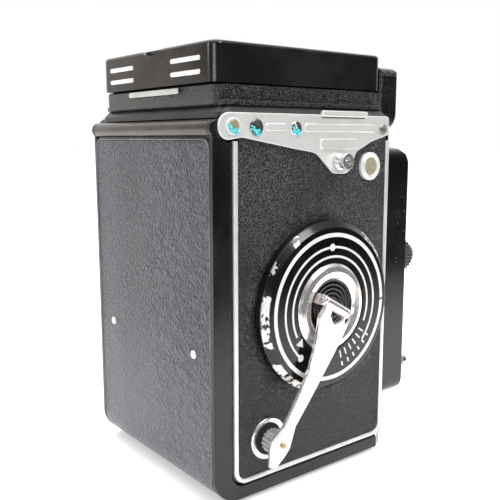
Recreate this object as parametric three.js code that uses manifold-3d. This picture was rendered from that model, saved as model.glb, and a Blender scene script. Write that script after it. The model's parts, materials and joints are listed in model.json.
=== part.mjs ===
// A twin lens reflex camera for 6 x 6 cm pictures on roll film: a die-cast body with a crank-wound
// film transport, a hinged L-shaped film door, a moving lens standard and a folding viewing hood.
// Millimetres, +Z up. Lenses face -Y, the film door is at +Y, the winding crank at -X, the focusing
// knob at +X. Inside, z = 0 is the underside of the film door and x = y = 0 the hood's centre; the
// last lines move the whole camera so that its origin is the bottom centre of its bounding box.
import * as THREE from "three";
import { mergeVertices } from "three/addons/utils/BufferGeometryUtils.js";
import Module from "manifold-3d";

// ---- Driving dimensions ----
const BODY = { half: 39.2, front: -39, rear: 40.1, deckLow: 124.4, deckTop: 128, deckRear: 37 };
const CAST = { inner: 32.1, wall: 34, rim: 36.95, front: -38, rear: 37.8, bottom: 2.4, rimWidth: 2.2 };
const COVER = { inner: 37, outer: 38.4, rear: 33, bottom: 4.9 };
const SKIN = { inner: 38.45, outer: 39.1 }; // leather on the covers
const TRIM = { rear: [30.3, 32.2], bottom: [5.2, 6.8], front: [-38.7, -36.9], outer: 39.3, corner: 5 };
const DOOR = { skinOut: 39.35, skin: 1.2, low: 0.75, flangeY: 33.2, flangeZ: 4.7, lipY: -36.4, corner: 10 };
const HINGE = { y: 38.4, z: 121.2, r: 2.7, pin: 1 }; // film door hinge roll
const FOOT = { r: 3, drop: 1.2, x: 29, y: [-28, 20] };
const MIRROR = { y: -10, z: 92, half: 29, thick: 2, halfWidth: 27.5 };
const LENS = { viewZ: 92, takeZ: 50, hole: 15.4 };
const GATE = { front: 27.3, back: 29.5, half: 28, low: 18, high: 82 };
const SPOOL = { half: 31.75, flange: 12.4, core: 6, bore: 2.3, flangeThick: 1.2 };
const TAKEUP = { y: 24, z: 102 };
const FEED = { y: -22, z: 17.2 };
const ROLLER = { y: 28.3, r: 2.2, journal: 1, low: 15, high: 85 };
const CRANK = { y: -5.6, z: 61, plate: 29.7, face: 44.3, hub: 15.2, shaft: 4, reach: 48.7 };
const ARM = {
  dirY: 0.5, dirZ: -Math.sqrt(0.75), hinge: 47.9, barrel: 1.9, low: -3.3, high: 7.9, thick: 1.6, slope: 2.35,
};
const KNOB = { r: 4.1, base: 45.6, tip: 40.9 };
const LUG = { width: 1.2, gap: 0.1 }; // hinge lugs of the crank arm
const GEAR = { module: 1.5, drive: 18, idler: 19, takeup: 13, from: -36.6, to: -34.4 };
const COUNTER = { y: -28.2, z: 108.4, r: 5, window: 3.7, dialY: -24.5, dialZ: 104.5, dial: 8.6 };
const FOCUS = { y: -8, z: 66, r: 17, from: 39.7, to: 50.5, cam: 6, lift: 7.5, turn: 270 };
const STANDARD = { half: 33, front: -57.3, rear: -41, low: 16.4, high: 114.8, wall: 1.6 };
const STEP = { half: 31.1, front: -49.5, low: 18.4, high: 112.8, wall: 1.2 };
const PANEL = { half: 31.4, from: -58.4, to: -57.4, low: 18, high: 113 };
const WHEEL = { x: 24, z: 71, r: 6.7, from: -68.5, to: -58.9 };
const RELEASE = { x: -24.5, z: 25, button: 3.1, collar: 5.2, travel: 3 };
const TIMER = { x: 25, z: 30.5, length: 11 };
const HOOD = { halfX: 36, halfY: 36.3, low: 128.1, top: 134.7, wall: 3.7, floor: 129.6 };
const SCREEN = { halfX: 28.3, from: -34.2, to: 22.3, low: 126.35, high: 127.95 };
const LID = { halfX: 36.06, halfY: 37.3, low: 135.1, top: 147.5, wall: 1.05, pivotY: -36.5, pivotZ: 144.9 };
const FLAP = {
  thick: 0.7, axisX: 33.4, axisZ: 135.7, length: 32.6, rearY: 31.2, rearZ: 133.8, rearLength: 27,
};
const LOUPE = { hinge: 36, z: 144.3, halfX: 16, length: 32, thick: 2.6, glass: 12.5 };
const PLATE = { inner: 39.25, outer: 40.25 };

const wasm = await Module();
wasm.setup();

// ---- Outlines ----
// Largest turn of one step of an arc, finer on wide bends.
const arcStep = (radius) => THREE.MathUtils.degToRad(radius > 8.5 ? 15 : 32);

// A closed outline from corner points [u, v, radius]; a corner with a radius becomes an arc.
function rounded(points) {
  const at = (i) => new THREE.Vector2(...points.at(i % points.length).slice(0, 2));
  return points.flatMap(([, , radius = 0], i) => {
    const here = at(i);
    if (!radius) return [here];
    const before = at(i - 1 + points.length).sub(here).normalize();
    const after = at(i + 1).sub(here).normalize();
    const half = Math.acos(before.dot(after)) / 2;
    const centre = here.clone().add(before.clone().add(after).setLength(radius / Math.sin(half)));
    const start = here.clone().addScaledVector(before, radius / Math.tan(half)).sub(centre);
    const end = here.clone().addScaledVector(after, radius / Math.tan(half)).sub(centre);
    const turn = Math.atan2(start.cross(end), start.dot(end));
    const steps = Math.max(2, Math.ceil(Math.abs(turn) / arcStep(radius) - 0.01));
    return Array.from({ length: steps + 1 }, (_, k) =>
      start.clone().rotateAround(new THREE.Vector2(), (turn * k) / steps).add(centre));
  });
}

// A box outline between two corners, with one radius on all four corners.
const box2 = (u0, u1, v0, v1, r = 0) => rounded([[u0, v0, r], [u1, v0, r], [u1, v1, r], [u0, v1, r]]);

// A circle of n points round (u, v).
const circle = (u, v, r, n = 24) => Array.from({ length: n }, (_, k) =>
  new THREE.Vector2(u + r * Math.cos((2 * Math.PI * k) / n), v + r * Math.sin((2 * Math.PI * k) / n)));

// ---- Solids ----
const basis = (x, y, z) => new THREE.Matrix4().makeBasis(
  new THREE.Vector3(...x), new THREE.Vector3(...y), new THREE.Vector3(...z));
const PLANES = {
  side: basis([0, 1, 0], [0, 0, 1], [1, 0, 0]), // outline in Y-Z, thickness along +X
  front: basis([1, 0, 0], [0, 0, 1], [0, -1, 0]), // outline in X-Z, thickness along -Y
  top: basis([1, 0, 0], [0, 1, 0], [0, 0, 1]), // outline in X-Y, thickness along +Z
};
const AXES = {
  x: new THREE.Matrix4().makeRotationZ(-Math.PI / 2),
  y: new THREE.Matrix4(),
  z: new THREE.Matrix4().makeRotationX(Math.PI / 2),
};

// A closed three.js geometry as a manifold-3d solid, faces turned outwards.
function solid(geometry) {
  geometry.deleteAttribute("normal");
  geometry.deleteAttribute("uv");
  const merged = mergeVertices(geometry, 1e-4);
  const position = merged.attributes.position.array;
  const corner = (i) => new THREE.Vector3().fromArray(position, 3 * i);
  let faces = [];
  let volume = 0;
  for (let i = 0; i < merged.index.count; i += 3) {
    const [a, b, c] = merged.index.array.slice(i, i + 3);
    if (a === b || b === c || a === c) continue;
    faces.push([a, b, c]);
    volume += corner(a).dot(corner(b).cross(corner(c)));
  }
  if (volume < 0) faces = faces.map(([a, b, c]) => [a, c, b]);
  return new wasm.Manifold(new wasm.Mesh({
    numProp: 3,
    vertProperties: position,
    triVerts: new Uint32Array(faces.flat()),
  }));
}

// An outline given thickness between two coordinates; a bevel takes its edges off inwards.
function slab(outline, plane, from, to, { holes = [], bevel = 0 } = {}) {
  const shape = new THREE.Shape(outline);
  shape.holes = holes.map((hole) => new THREE.Path(hole));
  const geometry = new THREE.ExtrudeGeometry(shape, {
    depth: to - from - 2 * bevel,
    bevelEnabled: bevel > 0,
    bevelThickness: bevel,
    bevelSize: bevel,
    bevelOffset: -bevel,
    bevelSegments: 1,
  });
  geometry.translate(0, 0, plane === "front" ? bevel - to : from + bevel);
  return solid(geometry.applyMatrix4(PLANES[plane]));
}

const block = (x, y, z) => slab(box2(x[0], x[1], y[0], y[1]), "top", z[0], z[1]);

// A profile of [distance along the axis, radius] points turned about an axis.
function turned(profile, axis, segments = 32) {
  const points = profile.map(([along, radius]) => new THREE.Vector2(radius, along));
  if (profile[0][1] > 0) points.push(points[0].clone());
  return solid(new THREE.LatheGeometry(points, segments).applyMatrix4(AXES[axis]));
}

const rod = (from, to, radius, axis, segments = 24) =>
  turned([[from, 0], [from, radius], [to, radius], [to, 0]], axis, segments);
const tube = (from, to, outer, inner, axis, segments = 32) =>
  turned([[from, inner], [from, outer], [to, outer], [to, inner]], axis, segments);

const join = (first, ...rest) => rest.reduce((sum, next) => sum.add(next), first);
const cut = (first, ...rest) => rest.reduce((sum, next) => sum.subtract(next), first);
const mirrored = (piece) => piece.mirror([1, 0, 0]);

// ---- Finishes ----
const finish = (color, roughness, metalness) =>
  new THREE.MeshStandardMaterial({ color, roughness, metalness });
const FINISH = {
  blackPaint: finish(0x111112, 0.35, 0.2),
  crinkle: finish(0x161617, 0.7, 0.1),
  leather: finish(0x1b1b1c, 0.75, 0),
  alloy: finish(0x9b9b97, 0.6, 0.7),
  satin: finish(0xc3c4c2, 0.35, 0.9),
  chrome: finish(0xdedfe0, 0.12, 1),
  brass: finish(0xa98544, 0.4, 0.9),
  dark: finish(0x0b0b0c, 0.8, 0),
  glass: finish(0x9fb3bd, 0.03, 0),
  mirror: finish(0xe8ecee, 0.03, 1),
  film: finish(0x202020, 0.5, 0),
};

// ---- Scene graph ----
const camera = new THREE.Group();
const groups = {};

// One named mesh in its moving group, at its place.
function node(group, name, material, shape, place = [0, 0, 0], turnX = 0) {
  if (!groups[group]) {
    groups[group] = new THREE.Group();
    camera.add(groups[group]);
  }
  const { numProp, vertProperties, triVerts } = shape.getMesh();
  const geometry = new THREE.BufferGeometry()
    .setAttribute("position", new THREE.BufferAttribute(vertProperties, numProp))
    .setIndex(new THREE.BufferAttribute(triVerts, 1));
  const mesh = new THREE.Mesh(geometry, material);
  mesh.name = name;
  mesh.position.set(...place);
  mesh.rotation.x = turnX;
  groups[group].add(mesh);
}

// ---- Body casting ----
// Side outline of the casting: square at the front, rounded where the door wraps round, stepped
// back under the door's hinge roll.
const castOutline = (inset = 0) => rounded([
  [CAST.front + inset, CAST.bottom + inset],
  [CAST.rear - inset, CAST.bottom + inset, 8 - inset / 2],
  [CAST.rear - inset, 117.4 - inset],
  [34.8 - inset, 117.4 - inset],
  [34.8 - inset, BODY.deckLow + 0.2 - inset],
  [CAST.front + inset, BODY.deckLow + 0.2 - inset],
]);

// A point along and above the reflex mirror's face, as [y, z].
const onMirror = (along, above) => [
  MIRROR.y + (along - above) * Math.SQRT1_2,
  MIRROR.z + (along + above) * Math.SQRT1_2,
];

function bodyCasting() {
  const across = (points) => slab(points.map((p) => new THREE.Vector2(...p)), "side", -32.3, 32.3);
  const bar = (y, z) => across([[y[0], z[0]], [y[1], z[0]], [y[1], z[1]], [y[0], z[1]]]);
  const coneLow = LENS.takeZ - GATE.half - 0.3;
  const coneHigh = LENS.takeZ + GATE.half + 0.3;
  const coneFront = 12.6;
  const wall = 1.5;
  const sideWall = slab(castOutline(), "side", CAST.inner, CAST.wall);
  const rim = slab(castOutline(), "side", CAST.wall - 0.1, CAST.rim, {
    holes: [castOutline(CAST.rimWidth)],
  });
  // knuckles that carry the door's hinge pin, one at each end of the roll
  const knuckleFrom = 37.3;
  const knuckleTo = 38.9;
  const knuckle = join(
    slab(box2(30.2, 35.2, 118.8, 123.6), "side", 35.5, knuckleTo),
    slab(box2(34, HINGE.y, HINGE.z - 2, HINGE.z + 2), "side", knuckleFrom, knuckleTo),
    rod(knuckleFrom, knuckleTo, 2.6, "x").translate([0, HINGE.y, HINGE.z]),
  );
  const half = join(sideWall, rim, knuckle);
  const deck = slab(box2(-BODY.half, BODY.half, BODY.front, BODY.deckRear, 4), "top",
    BODY.deckLow - 1.9, BODY.deckTop, { bevel: 1.9 });
  const deckKeep = block([-BODY.half, BODY.half], [-40, 40], [BODY.deckLow, BODY.deckTop]);
  const bush = join(
    bar([-9, 9], [CAST.bottom, 4.4]),
    rod(CAST.bottom, 7.4, 10.5, "z"),
  );
  const webs = join(
    bar([CAST.front, -36], [CAST.bottom, BODY.deckLow + 0.2]),
    across([onMirror(-31, -4.4), onMirror(49.5, -4.4), onMirror(47.5, -2.4), onMirror(-31, -2.4)]),
    across([[-36.2, LENS.takeZ + coneFront], [GATE.front + 0.1, coneHigh],
      [GATE.front + 0.1, coneHigh + wall], [-36.2, LENS.takeZ + coneFront + wall]]),
    across([[-36.2, LENS.takeZ - coneFront], [-36.2, LENS.takeZ - coneFront - wall],
      [GATE.front + 0.1, coneLow - wall], [GATE.front + 0.1, coneLow]]),
    bar([GATE.front, GATE.back], [GATE.low, GATE.high]),
    bush,
  );
  const solidParts = join(half, mirrored(half), deck.intersect(deckKeep), webs,
    rod(-32.2, -28.2, 2, "x").translate([0, FEED.y, FEED.z]),
    rod(GEAR.from, CAST.wall * -1 + 0.1, 2.4, "x").translate([0, IDLER.y, IDLER.z]),
    rod(-36.4, -33.9, 1.4, "x").translate([0, COUNTER.dialY, COUNTER.dialZ]));
  const hole = (r, from, to, y, z) => rod(from, to, r, "x").translate([0, y, z]);
  return cut(solidParts,
    block([-MIRROR.halfWidth, MIRROR.halfWidth], [-33.2, 21.4], [BODY.deckLow - 1, BODY.deckTop + 1]),
    block([-28.6, 28.6], [-34.5, 22.6], [SCREEN.low - 0.1, BODY.deckTop + 1]),
    rod(-40, -34, 16.6, "y").translate([0, 0, LENS.viewZ]),
    rod(-40, -34, 12.4, "y").translate([0, 0, LENS.takeZ]),
    block([-GATE.half, GATE.half], [GATE.front - 1, GATE.back + 1],
      [LENS.takeZ - GATE.half, LENS.takeZ + GATE.half]),
    hole(4.2, -35, -31, CRANK.y, CRANK.z),
    hole(2.5, -35, -31, TAKEUP.y, TAKEUP.z),
    hole(2.5, 31, 35, TAKEUP.y, TAKEUP.z),
    hole(2.5, 31, 35, FEED.y, FEED.z),
    hole(4.4, 31, 35, FOCUS.y, FOCUS.z),
    hole(1.15, -34.5, 34.5, ROLLER.y, ROLLER.low),
    hole(1.15, -34.5, 34.5, ROLLER.y, ROLLER.high),
    hole(HINGE.pin + 0.1, -39, 39, HINGE.y, HINGE.z),
    block([34.25, 36.75], [-40, -35], [64.5, 67.5]),
    rod(1, 12, 8.1, "z"));
}

// ---- Covers, leather and trim ----
// A side cover closes the space beside the casting; its top rear corner clears the door's knuckle.
function sideCover(holes) {
  const front = CAST.front + 0.1;
  const outline = rounded([[front, COVER.bottom, 3], [COVER.rear, COVER.bottom, 5.2], [COVER.rear, 117.2],
    [29.9, 117.2], [29.9, 124.1], [front, 124.1]]);
  return slab(outline, "side", COVER.inner, COVER.outer, { holes });
}

// The leather fills the trim's U and runs up under the strap plate.
function sideLeather(holes) {
  const gap = 0.1;
  const outline = rounded([
    [TRIM.front[1] + gap, TRIM.bottom[1] + gap, TRIM.corner - 1.8],
    [TRIM.rear[0] - gap, TRIM.bottom[1] + gap, TRIM.corner - 1.8],
    [TRIM.rear[0] - gap, 122],
    [TRIM.front[1] + gap, 122],
  ]);
  return slab(outline, "side", SKIN.inner, SKIN.outer, { holes });
}

// A U-shaped bead: up the front edge, along the bottom and up the rear edge.
function sideTrim() {
  const outline = rounded([
    [TRIM.front[0] + 0.8, 117], [TRIM.front[0] + 0.8, TRIM.bottom[0], TRIM.corner],
    [TRIM.rear[1], TRIM.bottom[0], TRIM.corner], [TRIM.rear[1], 117],
    [TRIM.rear[0], 117], [TRIM.rear[0], TRIM.bottom[1], TRIM.corner - 1.8],
    [TRIM.front[1], TRIM.bottom[1], TRIM.corner - 1.8], [TRIM.front[1], 117],
  ]);
  return slab(outline, "side", SKIN.inner, TRIM.outer);
}

function frontCover() {
  const plate = slab(box2(-38.4, 38.4, 4.9, 124.1, 2), "front", BODY.front, CAST.front - 0.1, {
    holes: [
      circle(0, LENS.viewZ, 16.6, 32), circle(0, LENS.takeZ, 12.4, 32), box2(34.25, 36.75, 64.5, 67.5),
    ],
  });
  const stepInside = box2(
    -STEP.half + STEP.wall, STEP.half - STEP.wall, STEP.low + STEP.wall, STEP.high - STEP.wall, 3,
  );
  const stepOutline = box2(-STEP.half, STEP.half, STEP.low, STEP.high, 4);
  const step = slab(stepOutline, "front", STEP.front, BODY.front + 0.2, {
    holes: [stepInside],
  });
  return join(plate, step);
}

// ---- Strap plates ----
// Outline from the round rear end over the door hinge, along the wavy lower edge with its strap
// stud lobe, to the front end.
function strapPlate() {
  const outline = rounded([
    [38.4, 126, 4.2], [38.4, 117.1, 3.8], [29.5, 118.5, 3], [7.3, 114.7, 8], [-1.5, 113.4, 6],
    [-9.5, 106.3, 3.6],
    [-16.8, 106.1, 3.4], [-20.6, 113.6, 4], [-28, 117, 8], [-37.1, 119.4, 0.8], [-37.1, 125, 0.8],
    [-36.4, 126, 0.8],
  ]);
  const plate = slab(outline, "side", PLATE.inner, PLATE.outer, {
    bevel: 0.25,
    holes: [circle(STUD.y, STUD.z, 1.9, 16)],
  });
  const ridge = (y, z) =>
    slab(box2(y[0], y[1], z[0], z[1], 1), "side", PLATE.outer - 0.1, PLATE.outer + 0.4);
  const bridge = slab(box2(-25, -3, 125.3, 127.3, 0.9), "side", PLATE.outer - 0.3, PLATE.outer + 1);
  return join(plate, bridge, ridge([11.6, 20.6], [120.4, 122.9]), ridge([-29.8, 4.3], [120.2, 123]),
    ridge([-21.2, -3], [114.4, 118.1]));
}

function strapStud() {
  const outer = 44.7;
  return turned([[SKIN.outer + 0.05, 0], [SKIN.outer + 0.05, 1.75], [PLATE.outer + 0.1, 1.75],
    [PLATE.outer + 0.1, 3], [41.4, 3], [42, 2.2], [43.4, 2.2], [44, 2.9], [outer, 2.7], [outer, 1.3],
    [42, 1.3], [42, 0]], "x", 16);
}

// ---- Film transport ----
// A spur gear about X, its first tooth at the angle phase from +Y towards +Z.
function gear(teeth, phase, bore) {
  const { module, from, to } = GEAR;
  const pitch = (module * teeth) / 2;
  const turn = (2 * Math.PI) / teeth;
  const flank = [[-0.31, -1.2], [-0.13, 0.85], [0.13, 0.85], [0.31, -1.2]];
  const outline = Array.from({ length: teeth }, (_, k) => flank.map(([side, height]) => {
    const angle = phase + (k + side) * turn;
    const r = pitch + height * module;
    return new THREE.Vector2(r * Math.cos(angle), r * Math.sin(angle));
  })).flat();
  return slab(outline, "side", from, to, { holes: [circle(0, 0, bore, 20)] });
}

// The idler touches both gears, a little behind the line from crank to take-up spool.
function idlerPlace() {
  const { module, drive, idler, takeup } = GEAR;
  const fromDrive = (module * (drive + idler)) / 2;
  const fromTakeup = (module * (takeup + idler)) / 2;
  const across = new THREE.Vector2(TAKEUP.y - CRANK.y, TAKEUP.z - CRANK.z);
  const apart = across.length();
  const along = (fromDrive ** 2 - fromTakeup ** 2 + apart ** 2) / (2 * apart);
  const aside = Math.sqrt(fromDrive ** 2 - along ** 2);
  const sideways = new THREE.Vector2(across.y, -across.x).setLength(aside);
  const place = across.clone().setLength(along).add(sideways);
  return { y: CRANK.y + place.x, z: CRANK.z + place.y };
}
const IDLER = idlerPlace();

// Phases that put each tooth into its neighbour's gap.
function gearPhases() {
  const first = Math.atan2(IDLER.z - CRANK.z, IDLER.y - CRANK.y);
  const second = Math.atan2(TAKEUP.z - IDLER.z, TAKEUP.y - IDLER.y);
  const turnIdler = (2 * Math.PI) / GEAR.idler;
  const turnTakeup = (2 * Math.PI) / GEAR.takeup;
  const idler = first + Math.PI + turnIdler / 2;
  const ahead = idler - second;
  const takeup = second + Math.PI - (ahead * GEAR.idler) / GEAR.takeup + turnTakeup / 2;
  return { drive: first, idler, takeup };
}
const PHASE = gearPhases();

function filmSpool() {
  const { half, flange, core, bore, flangeThick } = SPOOL;
  const inside = half - flangeThick;
  return turned([[-half, bore], [-half, flange], [-inside, flange], [-inside, core], [inside, core],
    [inside, flange], [half, flange], [half, bore]], "x", 24);
}

function filmRoller() {
  return turned([[-33.6, 0], [-33.6, ROLLER.journal], [-30, ROLLER.journal], [-30, ROLLER.r],
    [30, ROLLER.r], [30, ROLLER.journal], [33.6, ROLLER.journal], [33.6, 0]], "x", 16);
}

// A pull-out spool knob: a fluted cap outside the body, a spindle through the wall into the spool.
function spoolKnob() {
  const flutes = 12;
  const cap = Array.from({ length: 4 * flutes }, (_, k) => {
    const r = k % 4 < 2 ? 6.6 : 6.1;
    const angle = ((k + 0.5) * 2 * Math.PI) / (4 * flutes);
    return new THREE.Vector2(r * Math.cos(angle), r * Math.sin(angle));
  });
  return join(slab(cap, "side", 39.5, 43.6), rod(43.5, 44.2, 5.2, "x"),
    rod(33.5, 39.6, 2.3, "x"), rod(27, 33.6, 2, "x"));
}

// ---- Crank ----
function crankPlate() {
  const { plate, face } = CRANK;
  const profile = [
    [-39.15, 15.6], [-39.15, 29], [-39.8, plate], [-43, plate], [-face, 28.4], [-face, 15.6],
  ];
  return turned(profile, "x", 48);
}

// The hub turns in the plate; two lugs on its face hold the folding arm's pin, which is off centre.
// Drawn with the arm's direction along +Y.
function crankHub() {
  const { hub, shaft } = CRANK;
  const disc = turned([[-33, 0], [-33, shaft], [-43.4, shaft], [-43.4, hub], [-44.2, hub], [-44.9, 13.8],
    [-45.1, 12.4], [-44.9, 10.6], [-44.2, 9.8], [-44.2, 0]], "x", 36);
  const lug = (from) => slab(box2(-ARM.hinge - 1.7, -44, -1.8, 1.8), "top", from, from + LUG.width);
  const bore = rod(ARM.low - 2, ARM.high + 2, 0.85, "z", 12).translate([-ARM.hinge, 0, 0]);
  return cut(join(disc, lug(ARM.low - LUG.gap - LUG.width), lug(ARM.high + LUG.gap)), bore);
}

// The folding arm, drawn lying along +Y from its hinge at the origin, outer side towards -X. Its
// blade slopes inwards from the hinge to the knob.
function crankArm() {
  const { low, high, thick, slope, barrel } = ARM;
  const { reach } = CRANK;
  const neck = 2.7;
  const outline = rounded([
    [0, low], [neck, low, 1], [6, -5.6, 3], [14.6, -5, 8], [25.3, -4, 10], [33, -3.2, 10], [41.4, -2.1, 3],
    [reach, -3.8, 3], [51.5, -3.3, 2], [56.6, -1.5, 0.8], [56.9, 1.2, 0.8], [51.5, 4, 2], [reach, 4.9, 2],
    [43, 2.7, 3], [29, 2.4, 10], [21.5, 3, 8], [12, 5.4, 6], [5.6, 8.4, 2], [neck, high, 1], [0, high],
  ]);
  const window = rounded([
    [1.2, -1.9, 0.3], [3.6, -1.7, 0.8], [5.5, 1, 0.9], [3.4, 3.9, 0.8], [1.2, 4.1, 0.3],
  ]);
  const blade = slab(outline, "side", -thick, 0, { holes: [window], bevel: 0.25 }).rotate([0, 0, -slope]);
  const tube = rod(low, high, barrel, "z", 16);
  const bore = rod(low - 1, high + 1, 0.85, "z", 12);
  // the knob's pin, with its rivet head on the outer side
  const pin = 1.3;
  const head = 3;
  const outside = 0.45;
  const end = ARM.hinge - KNOB.tip;
  const knobPin = turned([
    [end, 0], [end, pin], [outside, pin], [outside, head], [outside - 0.35, head - 0.4],
    [outside - 0.55, 1.4], [outside - 0.55, 0],
  ], "x", 16).translate([0, reach, 0]);
  return cut(join(blade, tube, knobPin), bore);
}

// A fluted grip turning on a stepped pin.
function crankKnob() {
  const flutes = 14;
  const outline = Array.from({ length: 4 * flutes }, (_, k) => {
    const r = k % 4 < 2 ? KNOB.r : KNOB.r - 0.45;
    const angle = ((k + 0.5) * 2 * Math.PI) / (4 * flutes);
    return new THREE.Vector2(r * Math.cos(angle), r * Math.sin(angle));
  });
  return slab(outline, "side", 0, KNOB.base - KNOB.tip - 0.2, { holes: [circle(0, 0, 1.5, 12)] });
}

// ---- Focusing ----
// A plate cam whose edge moves away from the shaft evenly with the angle, with its shaft.
function focusCam() {
  const { cam, lift, turn } = FOCUS;
  const steps = 27;
  const over = 12;
  const edge = Array.from({ length: steps + 3 }, (_, k) => {
    const degrees = (k * (turn + 2 * over)) / (steps + 2) - over;
    const r = cam + (lift * THREE.MathUtils.clamp(degrees, 0, turn)) / turn;
    const angle = THREE.MathUtils.degToRad(180 - degrees);
    return new THREE.Vector2(r * Math.cos(angle), r * Math.sin(angle));
  });
  return join(slab(edge, "side", 34.4, 36.4), rod(32.4, 39.6, 4, "x", 24));
}

function focusKnob() {
  const { r, from, to } = FOCUS;
  const flutes = 24;
  const outline = Array.from({ length: 2 * flutes }, (_, k) => {
    const out = k % 2 ? r : r - 0.6;
    const angle = (k * Math.PI) / flutes;
    return new THREE.Vector2(out * Math.cos(angle), out * Math.sin(angle));
  });
  return join(slab(outline, "side", from + 1.6, to - 2.2),
    rod(from, from + 1.7, 15.2, "x", 24),
    turned([[to - 2.3, 0], [to - 2.3, 15.6], [to - 1.2, 15.6], [to - 0.5, 14.6], [to - 0.5, 11], [to, 10.4],
      [to, 0]], "x", 32));
}

function camFollower() {
  return join(
    block([34.6, 36.4], [-40.4, FOCUS.y - FOCUS.cam - 0.4], [65, 67]),
    block([31.6, 36.4], [-40.8, -39.4], [60, 72]));
}

// ---- Lens standard ----
function lensStandard() {
  const { half, front, rear, low, high, wall } = STANDARD;
  const outer = rounded([[rear, low], [front, low, 2.5], [front, high, 6], [rear, high]].reverse());
  const inner = rounded([[rear + 1, low + wall], [front + wall, low + wall, 1.5],
    [front + wall, high - wall, 4.5], [rear + 1, high - wall]].reverse());
  const shell = cut(slab(outer, "side", -half, half), slab(inner, "side", -half + wall, half - wall));
  const edge = slab(box2(-half, half, low, high, 5), "front", front - 1, rear + 1);
  return cut(shell.intersect(edge),
    rod(-60, -50, LENS.hole, "y", 40).translate([0, 0, LENS.viewZ]),
    rod(-60, -50, LENS.hole, "y", 40).translate([0, 0, LENS.takeZ]),
    rod(-60, -50, 3.6, "y").translate([RELEASE.x, 0, RELEASE.z]));
}

function frontPanel() {
  const { half, from, to, low, high } = PANEL;
  return slab(box2(-half, half, low, high, 6), "front", from, to, {
    holes: [circle(0, LENS.viewZ, LENS.hole, 40), circle(0, LENS.takeZ, LENS.hole, 40),
      circle(RELEASE.x, RELEASE.z, 3.6, 20)],
  });
}

// Lens mounts: a spigot through the panel, a body, and a bayonet ring in front.
function viewingBarrel() {
  return turned([[-55, 13.2], [-55, 15], [-58.5, 15], [-58.5, 19.6], [-62.4, 19.6], [-63, 19], [-63, 18.2],
    [-68.2, 18.2], [-69, 17.6], [-69, 16], [-64.5, 13.2]], "y", 32);
}

function shutterHousing() {
  return turned([[-55, 12.6], [-55, 15], [-58.5, 15], [-58.5, 20.5], [-65.4, 20.5], [-66.2, 19.8],
    [-66.2, 18.2], [-71.2, 18.2], [-72, 17.6], [-72, 16], [-67.5, 12.6]], "y", 32);
}

// A meniscus-fronted glass block in each mount.
const lensGlass = (back, rim, crown, r) => turned([
  [back, 0], [back, r], [rim, r], [rim - crown * 0.45, r * 0.75], [rim - crown * 0.8, r * 0.45],
  [rim - crown, 0],
], "y", 24);

// A milled wheel on a spindle, axis along Y.
function settingWheel() {
  const { r, from, to } = WHEEL;
  const flutes = 16;
  const outline = Array.from({ length: 2 * flutes }, (_, k) => {
    const out = k % 2 ? r : r - 0.5;
    const angle = (k * Math.PI) / flutes;
    return new THREE.Vector2(out * Math.cos(angle), out * Math.sin(angle));
  });
  return join(slab(outline, "front", from + 1.5, from + 6), rod(from + 5.9, to, 4, "y"),
    turned([[from + 1.6, 0], [from + 1.6, 5.4], [from + 0.4, 5.2], [from, 4.2], [from, 0]], "y", 16));
}

function releaseCollar() {
  const collar = turned([
    [-58.5, 3.4], [-58.5, RELEASE.collar], [-62.6, RELEASE.collar], [-63.4, 4.6], [-63.4, 3.4],
  ], "y", 28);
  return cut(collar, block([-0.6, 0.6], [-64, -62.6], [3, 6]));
}

function releaseButton() {
  return turned([[-59.8, 0], [-59.8, RELEASE.button], [-67.4, RELEASE.button], [-68, 2.4], [-67.6, 1.2],
    [-67.2, 0]], "y", 24);
}

function timerLever() {
  const arm = rounded([[-1.3, -TIMER.length, 0.9], [1.3, -TIMER.length, 0.9], [2, 0], [-2, 0]]);
  return join(slab(arm, "front", -60.8, -59.4), rod(-61.4, -58.6, 3, "y", 20));
}

// ---- Film door ----
// A thin skin down the rear and along the bottom, edged by two thick flanges, with the hinge roll on
// top and four feet below; a boss inside backs the pressure plate's spring.
function backDoor() {
  const { skinOut, skin, low, flangeY, flangeZ, lipY, corner } = DOOR;
  const rimTop = 116.6;
  const skinOutline = rounded([
    [lipY, low], [skinOut, low, corner - 0.75], [skinOut, 119],
    [skinOut - skin, 119], [skinOut - skin, low + skin, corner - 2], [lipY, low + skin],
  ]);
  const flangeOutline = rounded([
    [lipY, 0], [BODY.rear, 0, corner], [BODY.rear, rimTop, 1.5], [flangeY, rimTop, 1.5],
    [flangeY, flangeZ, corner - 5], [lipY, flangeZ, 1],
  ]);
  const flange = slab(flangeOutline, "side", 37.45, BODY.half);
  const roll = rod(-37, 37, HINGE.r, "x", 24).translate([0, HINGE.y, HINGE.z]);
  const skinSlab = slab(skinOutline, "side", -37.6, 37.6);
  const feet = [-1, 1].flatMap((side) => FOOT.y.map((y) =>
    turned([[-FOOT.drop, 0], [-FOOT.drop, FOOT.r - 0.6], [-FOOT.drop + 0.6, FOOT.r], [low + 0.3, FOOT.r],
      [low + 0.3, 0]], "z", 16).translate([side * FOOT.x, y, 0])));
  const boss = rod(33.6, 38.4, 5, "y", 20).translate([0, 0, LENS.takeZ]);
  return cut(join(skinSlab, flange, mirrored(flange), roll, ...feet, boss),
    rod(-1, 3, 6.3, "z", 32),
    block([-39.5, -37.02], [30, 42], [rimTop + 0.02, 125]),
    block([37.02, 39.5], [30, 42], [rimTop + 0.02, 125]),
    rod(-38, 38, HINGE.pin + 0.1, "x").translate([0, HINGE.y, HINGE.z]));
}

// One sheet of leather down the rear and round the bottom bend, between the door's raised edges.
function doorLeather() {
  const inner = DOOR.skinOut + 0.05;
  const outer = BODY.rear - 0.05;
  const low = DOOR.low - 0.05;
  const outline = rounded([
    [24, low], [inner, low, DOOR.corner - 0.7], [inner, 117.6],
    [outer, 117.6], [outer, low - 0.65, DOOR.corner - 0.05], [24, low - 0.65],
  ]);
  return slab(outline, "side", -37.1, 37.1);
}

function pressurePlate() {
  return slab(box2(-29.4, 29.4, 19.2, 80.8, 2), "front", 30.9, 32.1);
}

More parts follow.
